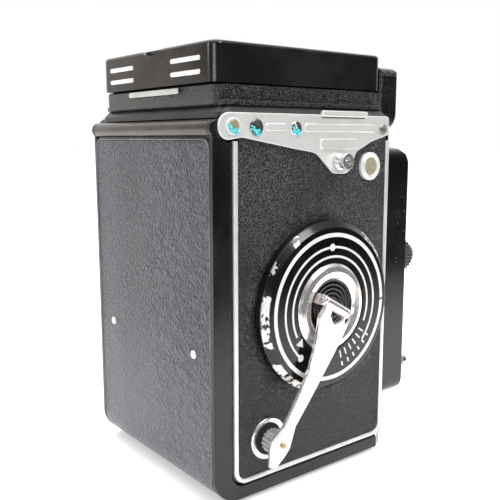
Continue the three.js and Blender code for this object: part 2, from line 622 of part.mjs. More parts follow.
function latchDial() {
  const ring = turned([
    [0.65, 6.6], [0.65, 12.5], [-0.3, 12.5], [-0.9, 11.8], [-0.9, 7.2], [-0.3, 6.6],
  ], "z", 28);
  const bow = cut(slab(box2(-11.4, 11.4, -1.2, 1.2, 0.8), "top", -1.15, -0.5), rod(-2, 1, 7, "z"));
  return join(ring, bow);
}

// ---- Viewing hood ----
function hoodBase() {
  const { halfX, halfY, low, top, wall, floor } = HOOD;
  const frame = slab(box2(-halfX, halfX, -halfY, halfY, 3), "top", low, top, { bevel: 0.4 });
  const hollow = block([-halfX + wall, halfX - wall], [-33.4, halfY - wall], [floor, top + 1]);
  const window = block([-MIRROR.halfWidth, MIRROR.halfWidth], [-33.2, 21.4], [low - 1, floor + 1]);
  const ledge = slab(box2(-37.7, 37.7, -35.8, 35.4, 1.5), "top", low, 129.8, { bevel: 0.3 });
  const frontWall = slab(box2(-34.6, 34.6, low + 0.4, 143.6, 1.5), "front", -38.9, -37.6);
  const foot = block([-34.6, 34.6], [-38.9, -36], [low + 0.4, 134.4]);
  const ear = (x) => join(
    rod(x - 1.3, x + 1.3, 0.9, "x", 16).translate([0, LID.pivotY, LID.pivotZ]),
    block([x - 1.3, x + 1.3], [-38.2, -36], [142.6, 143.6]),
    block([x - 1.3, x + 1.3], [-37.2, -35.8], [143.4, LID.pivotZ]));
  return join(cut(join(frame, ledge), hollow, window), frontWall, foot, ear(-32.2), ear(32.2));
}

function hoodLid() {
  const { halfX, halfY, low, top, wall } = LID;
  const outline = box2(-halfX, halfX, -halfY, halfY, 3);
  const shell = join(
    slab(outline, "top", low, top - 2.1),
    slab(outline, "top", top - 6, top, { bevel: 1.2 }));
  const inside = box2(-halfX + wall, halfX - wall, -halfY - 5, halfY - wall, 2);
  const hollow = slab(inside, "top", low - 1, top - wall);
  const barrel = rod(-30.7, 30.7, 1, "x", 16).translate([0, LID.pivotY, LID.pivotZ + 0.2]);
  const barrelKeep = slab(box2(LID.pivotY - 1, LID.pivotY + 1, LID.pivotZ, top - 0.5), "side", -30.7, 30.7);
  const notch = rod(halfY - 1, halfY + 4, 9, "y", 32).translate([0, 0, top + 6.6]);
  return cut(join(cut(shell, hollow), barrel, barrelKeep), notch);
}

// A side flap lying flat, its hinge edge outwards; its front corner is cut to fold behind the lid.
function sideFlap() {
  const { thick, axisX, axisZ, length } = FLAP;
  const free = axisX - length;
  const outline = [
    [axisX, -33.2], [axisX, 34.4], [free + 2, 34.4], [free, 32], [free, -18.6], [free + 20, -32.4],
  ];
  return join(
    slab(outline.map((p) => new THREE.Vector2(...p)), "top", axisZ - thick / 2, axisZ + thick / 2),
    rod(-33.2, 34.4, 0.8, "y", 12).translate([axisX, 0, axisZ]));
}

function rearFlap() {
  const { thick, rearY, rearZ, rearLength } = FLAP;
  const outline = [[-31.4, 0], [-31.4, -1], [-6, -rearLength], [6, -rearLength], [31.4, -1], [31.4, 0]];
  return join(
    slab(outline.map(([x, y]) => new THREE.Vector2(x, y + rearY)).reverse(), "top",
      rearZ - thick / 2, rearZ + thick / 2),
    rod(-31.4, 31.4, 0.8, "x", 12).translate([0, rearY, rearZ]));
}

// The magnifier's frame under the lid, with a short arm back to its hinge.
function magnifierFrame() {
  const { hinge, z, halfX, length, thick, glass } = LOUPE;
  const y = LID.pivotY + hinge;
  const middle = y + length - halfX;
  return join(
    cut(slab(box2(-halfX, halfX, middle - halfX, middle + halfX, 4), "top", z - thick, z, {
      holes: [circle(0, middle, glass + 0.2, 32)],
    }), block([-20, 20], [y - 5, y + 1], [z - 9, z - 0.7])),
    rod(-9, 9, 0.7, "x", 12).translate([0, y, z]));
}

function magnifierLens() {
  const { hinge, z, halfX, length, thick, glass } = LOUPE;
  const middle = LID.pivotY + hinge + length - halfX;
  return turned([
    [z - thick + 0.2, 0], [z - thick + 0.6, glass * 0.6], [z - thick + 1, glass], [z - 0.9, glass],
    [z - 0.3, glass * 0.55], [z - 0.1, 0],
  ], "z", 32).translate([0, middle, 0]);
}

// ---- Assembly ----
const STUD = { y: -12, z: 110.4 };
const crankAngle = Math.atan2(ARM.dirZ, ARM.dirY); // from +Y towards +Z

node("body", "body_casting", FINISH.alloy, bodyCasting());
node("body", "front_cover", FINISH.blackPaint, frontCover());
const spoolHoles = [circle(TAKEUP.y, TAKEUP.z, 3, 20), circle(FEED.y, FEED.z, 3, 20)];
node("body", "focus_side_cover", FINISH.blackPaint, sideCover([
  ...spoolHoles, circle(FOCUS.y, FOCUS.z, 4.6, 20)]));
node("body", "focus_side_leather", FINISH.leather, sideLeather([
  ...spoolHoles, circle(FOCUS.y, FOCUS.z, 6, 24)]));
node("body", "crank_side_cover", FINISH.blackPaint, mirrored(sideCover([
  circle(CRANK.y, CRANK.z, 4.6, 20), circle(COUNTER.y, COUNTER.z, 3.2, 20)])));
node("body", "crank_side_leather", FINISH.leather, mirrored(sideLeather([
  circle(CRANK.y, CRANK.z, 6, 24), circle(COUNTER.y, COUNTER.z, COUNTER.r + 0.2, 24)])));
node("body", "focus_side_trim", FINISH.satin, sideTrim());
node("body", "crank_side_trim", FINISH.satin, mirrored(sideTrim()));
node("body", "focus_strap_plate", FINISH.satin, strapPlate());
node("body", "crank_strap_plate", FINISH.satin, mirrored(strapPlate()));
node("body", "focus_strap_stud", FINISH.satin, strapStud(), [0, STUD.y, STUD.z]);
node("body", "crank_strap_stud", FINISH.satin, mirrored(strapStud()), [0, STUD.y, STUD.z]);
node("body", "counter_bezel", FINISH.satin, tube(-40.6, -38.45, COUNTER.r, COUNTER.window, "x", 28),
  [0, COUNTER.y, COUNTER.z]);
node("body", "crank_plate", FINISH.blackPaint, crankPlate(), [0, CRANK.y, CRANK.z]);
const rest = { y: CRANK.y + CRANK.reach * ARM.dirY, z: CRANK.z + CRANK.reach * ARM.dirZ };
node("body", "knob_rest_ring", FINISH.chrome, tube(-40.3, -39.15, 7.2, 5.4, "x", 32), [0, rest.y, rest.z]);
const mirrorShape = slab(box2(-MIRROR.halfWidth, MIRROR.halfWidth, -MIRROR.half, MIRROR.half), "top",
  -MIRROR.thick, 0);
node("body", "reflex_mirror", FINISH.mirror, mirrorShape.rotate([45, 0, 0]), [0, MIRROR.y, MIRROR.z]);
node("body", "focusing_screen", FINISH.glass,
  block([-SCREEN.halfX, SCREEN.halfX], [SCREEN.from, SCREEN.to], [SCREEN.low, SCREEN.high]));
node("body", "hood_base", FINISH.crinkle, hoodBase());
node("body", "hood_catch", FINISH.satin,
  slab(box2(-16.4, 16.4, 132, 134.4, 1), "front", 36.4, 37.5, { bevel: 0.2 }));
node("body", "nameplate", FINISH.blackPaint,
  slab(box2(-34, 34, 121.5, 143.8, 3), "front", -48.3, -39.2, { bevel: 1 }));
node("body", "tripod_bush", FINISH.satin, turned([
  [2.5, 3.2], [2.5, 7.9], [9.4, 7.9], [9.4, 0], [8.4, 0], [8.4, 3.2],
], "z", 64));
node("body", "door_hinge_pin", FINISH.satin, rod(-38.8, 38.8, HINGE.pin, "x", 16), [0, HINGE.y, HINGE.z]);

const crankPlace = [0, CRANK.y, CRANK.z];
node("crank", "crank_hub", FINISH.chrome, crankHub(), crankPlace, crankAngle);
const beyond = LUG.gap + LUG.width + 0.4;
node("crank", "crank_hinge_pin", FINISH.satin, rod(ARM.low - beyond, ARM.high + beyond, 0.7, "z", 12),
  [-ARM.hinge, CRANK.y, CRANK.z], crankAngle);
node("crank", "drive_gear", FINISH.brass, gear(GEAR.drive, PHASE.drive, CRANK.shaft + 0.15), crankPlace);
node("crank_arm", "crank_arm", FINISH.chrome, crankArm(), [-ARM.hinge, CRANK.y, CRANK.z], crankAngle);
node("crank_knob", "crank_knob", FINISH.chrome, crankKnob(), [-KNOB.base, rest.y, rest.z]);
node("idler", "idler_gear", FINISH.brass, gear(GEAR.idler, PHASE.idler, 2.55), [0, IDLER.y, IDLER.z]);
node("takeup", "takeup_gear", FINISH.brass, join(gear(GEAR.takeup, PHASE.takeup, 1.9),
  rod(GEAR.from, -27.5, 2, "x", 20)), [0, TAKEUP.y, TAKEUP.z]);
node("takeup", "takeup_spool", FINISH.dark, filmSpool(), [0, TAKEUP.y, TAKEUP.z]);
node("takeup_knob", "takeup_knob", FINISH.satin, spoolKnob(), [0, TAKEUP.y, TAKEUP.z]);
node("feed_spool", "feed_spool", FINISH.dark, filmSpool(), [0, FEED.y, FEED.z]);
node("feed_knob", "feed_knob", FINISH.satin, spoolKnob(), [0, FEED.y, FEED.z]);
node("counter", "counter_dial", FINISH.satin, tube(-36.55, -35.6, COUNTER.dial, 1.6, "x", 40),
  [0, COUNTER.dialY, COUNTER.dialZ]);
node("lower_roller", "lower_film_roller", FINISH.satin, filmRoller(), [0, ROLLER.y, ROLLER.low]);
node("upper_roller", "upper_film_roller", FINISH.satin, filmRoller(), [0, ROLLER.y, ROLLER.high]);

node("focus", "focus_knob", FINISH.satin, focusKnob(), [0, FOCUS.y, FOCUS.z]);
node("focus", "focus_cam", FINISH.satin, focusCam(), [0, FOCUS.y, FOCUS.z]);
node("standard", "cam_follower", FINISH.satin, camFollower());
node("standard", "lens_standard", FINISH.blackPaint, lensStandard());
node("standard", "front_panel", FINISH.blackPaint, frontPanel());
node("standard", "viewing_lens_barrel", FINISH.satin, viewingBarrel(), [0, 0, LENS.viewZ]);
node("standard", "viewing_lens", FINISH.glass, lensGlass(-58, -62.8, 1.6, 12.9), [0, 0, LENS.viewZ]);
node("standard", "shutter_housing", FINISH.satin, shutterHousing(), [0, 0, LENS.takeZ]);
node("standard", "taking_lens", FINISH.glass, lensGlass(-60, -66, 1.6, 12.3), [0, 0, LENS.takeZ]);
node("aperture_wheel", "aperture_wheel", FINISH.satin, settingWheel(), [WHEEL.x, 0, WHEEL.z]);
node("speed_wheel", "shutter_speed_wheel", FINISH.satin, settingWheel(), [-WHEEL.x, 0, WHEEL.z]);
node("release", "release_button", FINISH.chrome, releaseButton(), [RELEASE.x, 0, RELEASE.z]);
node("release_collar", "release_lock_collar", FINISH.satin, releaseCollar(), [RELEASE.x, 0, RELEASE.z]);
node("timer", "self_timer_lever", FINISH.satin, timerLever(), [TIMER.x, 0, TIMER.z]);

node("door", "back_door", FINISH.blackPaint, backDoor());
node("door", "door_leather", FINISH.leather, doorLeather());
node("pressure", "pressure_plate", FINISH.film, pressurePlate());
node("latch", "latch_dial", FINISH.satin, latchDial());

node("lid", "hood_lid", FINISH.blackPaint, hoodLid());
node("left_flap", "focus_side_flap", FINISH.blackPaint, sideFlap());
node("right_flap", "crank_side_flap", FINISH.blackPaint, mirrored(sideFlap()));
node("rear_flap", "rear_flap", FINISH.blackPaint, rearFlap());
node("magnifier", "magnifier_frame", FINISH.blackPaint, magnifierFrame());
node("magnifier", "magnifier_lens", FINISH.glass, magnifierLens());

// ---- Origin at the bottom centre of the bounding box ----
const bounds = new THREE.Box3().setFromObject(camera);
const middle = bounds.getCenter(new THREE.Vector3());
camera.position.set(-middle.x, -middle.y, -bounds.min.z);

export default camera;
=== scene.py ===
import json
import math

import bmesh
import bpy
from mathutils import Matrix, Vector


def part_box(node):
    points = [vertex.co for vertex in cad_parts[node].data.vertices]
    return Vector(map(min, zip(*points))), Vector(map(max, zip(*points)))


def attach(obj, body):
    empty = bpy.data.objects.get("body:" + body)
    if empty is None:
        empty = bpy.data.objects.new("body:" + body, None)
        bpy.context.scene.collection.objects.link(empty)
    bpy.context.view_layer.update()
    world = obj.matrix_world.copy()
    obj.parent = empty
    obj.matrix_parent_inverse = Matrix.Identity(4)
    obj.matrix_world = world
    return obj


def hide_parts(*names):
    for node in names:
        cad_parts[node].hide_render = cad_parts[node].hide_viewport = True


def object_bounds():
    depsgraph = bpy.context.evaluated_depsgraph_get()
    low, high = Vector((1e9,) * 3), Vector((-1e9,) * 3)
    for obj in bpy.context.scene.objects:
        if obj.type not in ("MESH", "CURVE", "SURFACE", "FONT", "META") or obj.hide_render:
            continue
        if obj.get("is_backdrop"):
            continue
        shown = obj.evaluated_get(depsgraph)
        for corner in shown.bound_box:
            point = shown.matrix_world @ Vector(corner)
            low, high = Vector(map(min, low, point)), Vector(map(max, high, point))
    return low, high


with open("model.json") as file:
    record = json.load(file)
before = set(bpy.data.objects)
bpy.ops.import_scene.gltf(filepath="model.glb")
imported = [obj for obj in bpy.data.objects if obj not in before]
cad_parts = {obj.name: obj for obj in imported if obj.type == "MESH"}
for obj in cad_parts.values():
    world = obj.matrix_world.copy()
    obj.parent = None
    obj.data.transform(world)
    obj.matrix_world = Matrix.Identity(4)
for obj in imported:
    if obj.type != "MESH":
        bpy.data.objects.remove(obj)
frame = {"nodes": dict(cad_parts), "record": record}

cad_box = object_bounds()

# The camera's own drawing frame, in millimetres: x and y from the middle of the viewing hood, z from the
# underside of the film door. -Y is the lens side, +Y the film door, -X the crank, +X the focusing knob.
MM = 0.001
hood_low, hood_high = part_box("hood_base")
ORIGIN = Vector(((hood_low.x + hood_high.x) / 2, hood_low.y + 38.9 * MM, hood_low.z - 128.1 * MM))
TO_ROW = Matrix.Translation(ORIGIN) @ Matrix.Diagonal((MM, MM, MM, 1))

link = bpy.context.scene.collection.objects.link


# ---- Outlines ----
MITRE_LIMIT = 0.3  # keeps an offset corner from running away


def rounded(points, closed=True, step=7.5):
    """Corners (u, v[, radius]) as an outline whose radii are arcs of steps no larger than step degrees."""
    out = []
    for i, corner in enumerate(points):
        here = Vector(corner[:2])
        radius = corner[2] if len(corner) > 2 else 0
        if not radius or (not closed and i in (0, len(points) - 1)):
            out.append(here)
            continue
        before = (Vector(points[i - 1][:2]) - here).normalized()
        after = (Vector(points[(i + 1) % len(points)][:2]) - here).normalized()
        half = before.angle(after) / 2
        centre = here + (before + after).normalized() * (radius / math.sin(half))
        start = here + before * (radius / math.tan(half)) - centre
        end = here + after * (radius / math.tan(half)) - centre
        turn = math.atan2(start.x * end.y - start.y * end.x, start.dot(end))
        count = max(2, math.ceil(math.degrees(abs(turn)) / step))
        for k in range(count + 1):
            c, s = math.cos(turn * k / count), math.sin(turn * k / count)
            out.append(centre + Vector((start.x * c - start.y * s, start.x * s + start.y * c)))
    return out


def box2(u0, u1, v0, v1, r=0.0):
    return rounded([(u0, v0, r), (u1, v0, r), (u1, v1, r), (u0, v1, r)])


def circle(u, v, r, n=64):
    turns = (math.tau * k / n for k in range(n))
    return [Vector((u + r * math.cos(t), v + r * math.sin(t))) for t in turns]


def fluted(r, depth, count, fine=6):
    """A round outline with count shallow round grooves."""
    total = count * fine
    return [Vector((math.cos(a), math.sin(a))) * (r - depth * (0.5 - 0.5 * math.cos(a * count)) ** 2)
            for a in (math.tau * k / total for k in range(total))]


def offset(loop, inset):
    """The loop moved inwards, or outwards when inset is negative."""
    n = len(loop)
    area = sum(loop[i - 1].x * loop[i].y - loop[i - 1].y * loop[i].x for i in range(n))
    side = 1 if area > 0 else -1
    out = []
    for i in range(n):
        a = (loop[i] - loop[i - 1]).normalized()
        b = (loop[(i + 1) % n] - loop[i]).normalized()
        na, nb = Vector((-a.y, a.x)) * side, Vector((-b.y, b.x)) * side
        out.append(loop[i] + (na + nb) * (inset / max(MITRE_LIMIT, 1 + na.dot(nb))))
    return out


# ---- Solids, added to a bmesh in millimetres ----
PLANES = {
    "side": lambda u, v, w: (w, u, v),
    "front": lambda u, v, w: (u, w, v),
    "top": lambda u, v, w: (u, v, w),
}


def slab(bm, outline, plane, low, high, bevel=0.0, holes=(), steps=3, round_low=True):
    """An outline given thickness, its edges rounded, with holes through it."""
    rings = [(0.0, low), (0.0, high)]
    if bevel:
        quarter = [(bevel * (1 - math.sin(t)), bevel * (1 - math.cos(t)))
                   for t in (math.pi / 2 * k / steps for k in range(steps + 1))]
        lower = [(i, low + h) for i, h in quarter] if round_low else [(0.0, low)]
        rings = lower + [(i, high - h) for i, h in reversed(quarter)]
    place = PLANES[plane]
    ends = ([], [])
    for loop, sign in [(outline, 1)] + [(hole, -1) for hole in holes]:
        made = [[bm.verts.new(place(p.x, p.y, w)) for p in (offset(loop, sign * i) if i else loop)]
                for i, w in rings]
        n = len(loop)
        for lower_ring, upper_ring in zip(made, made[1:]):
            for k in range(n):
                bm.faces.new((lower_ring[k - 1], lower_ring[k], upper_ring[k], upper_ring[k - 1]))
        for end, ring in zip(ends, (made[0], made[-1])):
            end.extend(bm.edges.get((ring[k - 1], ring[k])) for k in range(n))
    for end in ends:
        bmesh.ops.triangle_fill(bm, use_beauty=True, use_dissolve=False, edges=end)
    return bm


ROUNDING_STEP = 15  # degrees between the points of a turned profile's roundings
ON_AXIS = 1e-6  # millimetres
AXES = {
    "x": lambda a, u, v: (a, u, v),
    "y": lambda a, u, v: (u, a, v),
    "z": lambda a, u, v: (u, v, a),
}


def lathe(bm, profile, axis, at=(0, 0, 0), segments=96):
    """A profile of (distance along the axis, radius[, rounding]) turned about an axis through at."""
    closed = profile[0][1] > 0
    points = rounded(profile, closed, ROUNDING_STEP)
    place = AXES[axis]
    rings = []
    for p in points:
        count = 1 if p.y < ON_AXIS else segments
        rings.append([bm.verts.new(Vector(at) + Vector(place(
            p.x, p.y * math.cos(math.tau * k / segments), p.y * math.sin(math.tau * k / segments))))
            for k in range(count)])
    for i in range(0 if closed else 1, len(rings)):
        a, b = rings[i - 1], rings[i]
        for k in range(segments):
            quad = (a[k - 1 if len(a) > 1 else 0], a[k if len(a) > 1 else 0],
                    b[k if len(b) > 1 else 0], b[k - 1 if len(b) > 1 else 0])
            corners = list(dict.fromkeys(quad))
            if len(corners) > 2:
                bm.faces.new(corners)
    return bm


def moved(bm, matrix):
    bmesh.ops.transform(bm, matrix=matrix, verts=bm.verts)
    return bm


def new_slab(*args, **options):
    return slab(bmesh.new(), *args, **options)


def new_lathe(*args, **options):
    return lathe(bmesh.new(), *args, **options)


def carved(bm, cutter, operation="DIFFERENCE"):
    """Cuts one closed solid out of another, or joins them."""
    made = []
    for part in (bm, cutter):
        bmesh.ops.recalc_face_normals(part, faces=part.faces)
        mesh = bpy.data.meshes.new("cut")
        part.to_mesh(mesh)
        made.append(bpy.data.objects.new("cut", mesh))
        link(made[-1])
    modifier = made[0].modifiers.new("cut", "BOOLEAN")
    modifier.operation, modifier.object, modifier.solver = operation, made[1], "EXACT"
    result = bpy.data.meshes.new_from_object(made[0].evaluated_get(bpy.context.evaluated_depsgraph_get()))
    bm.clear()
    bm.from_mesh(result)
    for obj in made:
        mesh = obj.data
        bpy.data.objects.remove(obj)
        bpy.data.meshes.remove(mesh)
    return bm


SHARP = 38  # degrees between faces that are shaded apart
BEVELLED = 35  # degrees between faces whose edge is rounded


def piece(name, bm, material, body="body", replaces=(), bevel=0.0, mirror=False):
    """Turns a bmesh in the drawing frame into a piece that rides on a body."""
    if mirror:
        bmesh.ops.transform(bm, matrix=Matrix.Diagonal((-1, 1, 1, 1)), verts=bm.verts)
    bmesh.ops.transform(bm, matrix=TO_ROW, verts=bm.verts)
    bmesh.ops.recalc_face_normals(bm, faces=bm.faces)
    mesh = bpy.data.meshes.new(name)
    bm.to_mesh(mesh)
    bm.free()
    mesh.shade_smooth()
    mesh.set_sharp_from_angle(angle=math.radians(SHARP))
    mesh.materials.append(material)
    obj = bpy.data.objects.new(name, mesh)
    link(obj)
    if bevel:
        edges = obj.modifiers.new("edges", "BEVEL")
        edges.width, edges.segments, edges.limit_method = bevel * MM, 3, "ANGLE"
        edges.angle_limit = math.radians(BEVELLED)
        edges.use_clamp_overlap = True
    normals = obj.modifiers.new("normals", "WEIGHTED_NORMAL")
    normals.keep_sharp = True
    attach(obj, body)
    if replaces:
        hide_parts(*replaces)
    return obj


# ---- Materials ----
class Graph:
    """A material's nodes, made by short calls. Textures read the piece's own place in metres."""

    def __init__(self, name, base=(0.5, 0.5, 0.5), rough=0.5, metal=0.0, **sockets):
        self.material = bpy.data.materials.new(name)
        self.material.use_nodes = True
        self.tree = self.material.node_tree
        self.tree.nodes.clear()
        self.shader = self.tree.nodes.new("ShaderNodeBsdfPrincipled")
        out = self.tree.nodes.new("ShaderNodeOutputMaterial")
        self.tree.links.new(self.shader.outputs[0], out.inputs["Surface"])
        self.place = self.tree.nodes.new("ShaderNodeTexCoord").outputs["Object"]
        self.set("Base Color", base)
        self.set("Roughness", rough)
        self.set("Metallic", metal)
        for key, value in sockets.items():
            self.set(key.replace("_", " "), value)

    def set(self, socket, value):
        self.feed(self.shader.inputs[socket], value)

    def feed(self, socket, value):
        if isinstance(value, bpy.types.NodeSocket):
            self.tree.links.new(value, socket)
        elif isinstance(value, (tuple, list)) and len(value) == 3 and socket.type == "RGBA":
            socket.default_value = (*value, 1)
        else:
            socket.default_value = value

    def node(self, kind, output=0, options=(), **inputs):
        made = self.tree.nodes.new("ShaderNode" + kind)
        for key, value in dict(options).items():
            setattr(made, key, value)
        for key, value in inputs.items():
            if key.startswith("i"):
                self.feed(made.inputs[int(key[1:])], value)
            else:
                self.feed(made.inputs[key.replace("_", " ")], value)
        return made.outputs[output]

    def noise(self, scale, detail=2.0, rough=0.5, warp=0.0, place=None):
        return self.node("TexNoise", Vector=place or self.place, Scale=scale, Detail=detail,
                         Roughness=rough, Distortion=warp)

    def cells(self, scale, feature="F1", place=None, output="Distance"):
        return self.node("TexVoronoi", output, {"feature": feature}, Vector=place or self.place,
                         Scale=scale)

    def math(self, operation, a, b=0.0, clamp=False):
        return self.node("Math", 0, {"operation": operation, "use_clamp": clamp}, i0=a, i1=b)

    def times(self, a, b):
        return self.math("MULTIPLY", a, b)

    def plus(self, a, b, clamp=False):
        return self.math("ADD", a, b, clamp)

    def minus(self, a, b):
        return self.math("SUBTRACT", a, b)

    def span(self, value, low, high, to_low=0.0, to_high=1.0):
        return self.node("MapRange", 0, {"interpolation_type": "SMOOTHSTEP"}, Value=value, From_Min=low,
                         From_Max=high, To_Min=to_low, To_Max=to_high)

    def mix(self, factor, a, b):
        made = self.tree.nodes.new("ShaderNodeMix")
        made.data_type = "RGBA"
        self.feed(made.inputs[0], factor)
        self.feed(made.inputs[6], a)
        self.feed(made.inputs[7], b)
        return made.outputs[2]

    def ramp(self, value, stops):
        made = self.tree.nodes.new("ShaderNodeValToRGB")
        self.feed(made.inputs[0], value)
        elements = made.color_ramp.elements
        while len(elements) < len(stops):
            elements.new(0.5)
        for element, (position, colour) in zip(elements, stops):
            element.position = position
            element.color = (*colour, 1) if isinstance(colour, tuple) else (colour, colour, colour, 1)
        return made.outputs[0]

    def axis(self, index):
        return self.node("SeparateXYZ", index, i0=self.place)

    def stretched(self, x, y, z):
        return self.node("Mapping", 0, Vector=self.place, Scale=(x, y, z))

    def warped(self, scale, amount):
        """The place, pushed about by noise by up to amount metres."""
        noise = self.node("TexNoise", 1, Vector=self.place, Scale=scale, Detail=1.0)
        centred = self.node("VectorMath", 0, {"operation": "SUBTRACT"}, i0=noise, i1=(0.5, 0.5, 0.5))
        pushed = self.node("VectorMath", 0, {"operation": "SCALE"}, i0=centred, Scale=amount * 2)
        return self.node("VectorMath", 0, {"operation": "ADD"}, i0=self.place, i1=pushed)

    def bump(self, height, distance, strength=1.0):
        made = self.tree.nodes.new("ShaderNodeBump")
        made.inputs["Strength"].default_value = strength
        made.inputs["Distance"].default_value = distance
        self.feed(made.inputs["Height"], height)
        self.set("Normal", made.outputs[0])

    def specks(self, scale, size, share):
        """A mask of small dots, one in a share of a voronoi pattern's cells."""
        near = self.span(self.cells(scale), size, size * 0.55)
        chosen = self.node("SeparateColor", 0, i0=self.cells(scale, output="Color"))
        return self.times(near, self.math("LESS_THAN", chosen, share))


def enamel(name, base=(0.010, 0.010, 0.011), rough=0.16, dust=0.05):
    """Gloss black stove enamel: soft unevenness, dust and fine scuffs."""
    g = Graph(name, rough=rough, Specular_IOR_Level=0.5)
    cloud = g.noise(60, 3)
    light = tuple(c * 1.9 + 0.002 for c in base)
    colour = g.mix(g.span(cloud, 0.35, 0.7), base, light)
    specks = g.specks(420, 0.16, dust)
    colour = g.mix(g.times(specks, 0.5), colour, (0.22, 0.21, 0.20))
    scuffs = g.span(g.noise(500, 4, 0.6), 0.58, 0.85)
    g.set("Roughness", g.plus(g.times(scuffs, 0.22), g.span(cloud, 0.3, 0.7, rough, rough + 0.1)))
    g.set("Base Color", colour)
    g.bump(g.noise(300, 2), 0.00004, 0.35)
    return g.material


def crinkle():
    g = Graph("crinkle_paint", rough=0.38, Specular_IOR_Level=0.6)
    place = g.warped(900, 0.0004)
    grain = g.cells(1900, "SMOOTH_F1", place)
    fine = g.noise(3600, 3, 0.6)
    height = g.plus(g.span(grain, 0.05, 0.6, 1.0, 0.0), g.times(fine, 0.4))
    g.set("Base Color", g.mix(g.span(height, 0.5, 1.25), (0.006, 0.006, 0.006), (0.026, 0.026, 0.027)))
    g.set("Roughness", g.span(fine, 0.3, 0.7, 0.14, 0.40))
    g.bump(height, 0.00022, 0.95)
    return g.material


def side_leather(name):
    """Dark leather with a crackle of fine lighter ridges, dulled and scuffed round the crank."""
    g = Graph(name, rough=0.5, Specular_IOR_Level=0.5)
    place = g.warped(700, 0.0006)
    edge = g.cells(980, "DISTANCE_TO_EDGE", place)
    ridge = g.span(edge, 0.13, 0.0)
    fine = g.noise(3200, 3, 0.6)
    broad = g.noise(45, 3)
    upper = g.span(g.axis(2), 0.055, 0.105)  # the crackle fades below the strap plate
    creases = g.span(g.cells(240, "DISTANCE_TO_EDGE", g.warped(260, 0.0022)), 0.10, 0.0)
    creases = g.times(creases, g.span(g.axis(2), 0.075, 0.05))
    height = g.plus(ridge, g.times(fine, 0.35))
    height = g.minus(height, g.times(creases, 1.6))
    strength = g.times(ridge, g.span(broad, 0.3, 0.7, 0.4, 1.0))
    strength = g.times(strength, g.plus(0.45, g.times(upper, 0.9)))
    colour = g.mix(strength, (0.0045, 0.0045, 0.005), (0.095, 0.098, 0.098))
    low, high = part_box("crank_plate")
    middle = (low + high) / 2
    from_disc = g.node("VectorMath", 1, {"operation": "DISTANCE"}, i0=g.place,
                       i1=(-0.0395, middle.y, middle.z))
    ring = g.times(g.span(from_disc, 0.0295, 0.031), g.span(from_disc, 0.040, 0.032))
    scuffed = g.times(ring, g.span(g.noise(700, 4, 0.6), 0.5, 0.66))
    colour = g.mix(g.times(scuffed, 0.55), colour, (0.13, 0.13, 0.12))
    colour = g.mix(g.times(g.specks(520, 0.13, 0.05), 0.55), colour, (0.30, 0.31, 0.30))
    g.set("Base Color", colour)
    g.set("Roughness", g.span(fine, 0.25, 0.75, 0.34, 0.56))
    g.bump(height, 0.00016, 0.75)
    return g.material


def rear_leather():
    """Pebbled leather with a soft grey sheen, painted lighter towards the bottom and the +X side."""
    g = Graph("rear_leather", rough=0.42, Specular_IOR_Level=0.5, Sheen_Weight=0.18, Sheen_Roughness=0.45)
    g.set("Specular Tint", (0.86, 0.92, 1.0))
    g.set("Sheen Tint", (0.75, 0.8, 0.9))
    place = g.warped(800, 0.0005)
    pebble = g.span(g.cells(1350, "SMOOTH_F1", place), 0.05, 0.75, 1.0, 0.0)
    fine = g.noise(3000, 3, 0.6)
    broad = g.noise(30, 4)
    height = g.plus(pebble, g.times(fine, 0.3))
    wrinkles = g.span(g.noise(1, 3, 0.55, 0.6, g.stretched(210, 210, 420)), 0.42, 0.62)
    # the wrinkles are deeper on the crank's half
    deep = g.times(wrinkles, g.span(g.axis(0), 0.012, -0.018))
    height = g.plus(height, g.times(deep, 1.5))
    colour = g.mix(g.span(height, 0.45, 1.15), (0.004, 0.004, 0.006), (0.024, 0.024, 0.030))
    # painted light: lighter and bluish towards the bottom and the +X side, standing in for floor light
    # reflected onto the door
    painted_floor_light = g.plus(g.span(g.axis(2), 0.065, 0.015, 0.0, 0.8), g.span(g.axis(0), 0.012, 0.036, 0.0, 0.4),
                   clamp=True)
    colour = g.mix(g.times(painted_floor_light, 0.85), colour, (0.098, 0.100, 0.112))
    g.set("Base Color", g.mix(g.span(broad, 0.35, 0.75, 0.0, 0.35), colour, (0.044, 0.045, 0.052)))
    g.set("Roughness", g.span(fine, 0.25, 0.75, 0.17, 0.38))
    g.bump(height, 0.00028, 1.0)
    return g.material


def metal(name, base, rough, brushed=None, tint=None, pits=0.25, spread=0.12, metallic=1.0):
    """Bare or plated metal: fine scratches along one axis if brushed, uneven gloss, small pits."""
    g = Graph(name, rough=rough, metal=metallic)
    scratches = g.noise(700, 4, 0.65, place=g.stretched(*brushed) if brushed else None)
    cloud = g.noise(150, 3)
    colour = g.mix(g.span(cloud, 0.3, 0.75), base, tint or tuple(c * 0.86 for c in base))
    dots = g.specks(900, 0.16, pits * 0.3)
    g.set("Base Color", g.mix(g.times(dots, 0.6), colour, tuple(c * 0.4 for c in base)))
    g.set("Roughness", g.span(scratches, 0.3, 0.75, max(0.03, rough - spread), rough + spread))
    g.bump(scratches, 0.00003, 0.35)
    return g.material


def paint(name, base, rough=0.45, chips=0.0):
    """A matt or silk paint with slight unevenness, and chips down to dark."""
    g = Graph(name, rough=rough)
    cloud = g.noise(220, 4, 0.6)
    colour = g.mix(g.span(cloud, 0.3, 0.75), base, tuple(c * 0.82 for c in base))
    if chips:
        gone = g.span(g.noise(1100, 4, 0.7), 0.70 - chips, 0.74 - chips)
        colour = g.mix(gone, colour, (0.03, 0.03, 0.03))
    g.set("Base Color", colour)
    g.set("Roughness", g.span(g.noise(900, 3), 0.3, 0.7, rough - 0.1, rough + 0.1))
    g.bump(g.noise(1800, 3), 0.00003, 0.4)
    return g.material


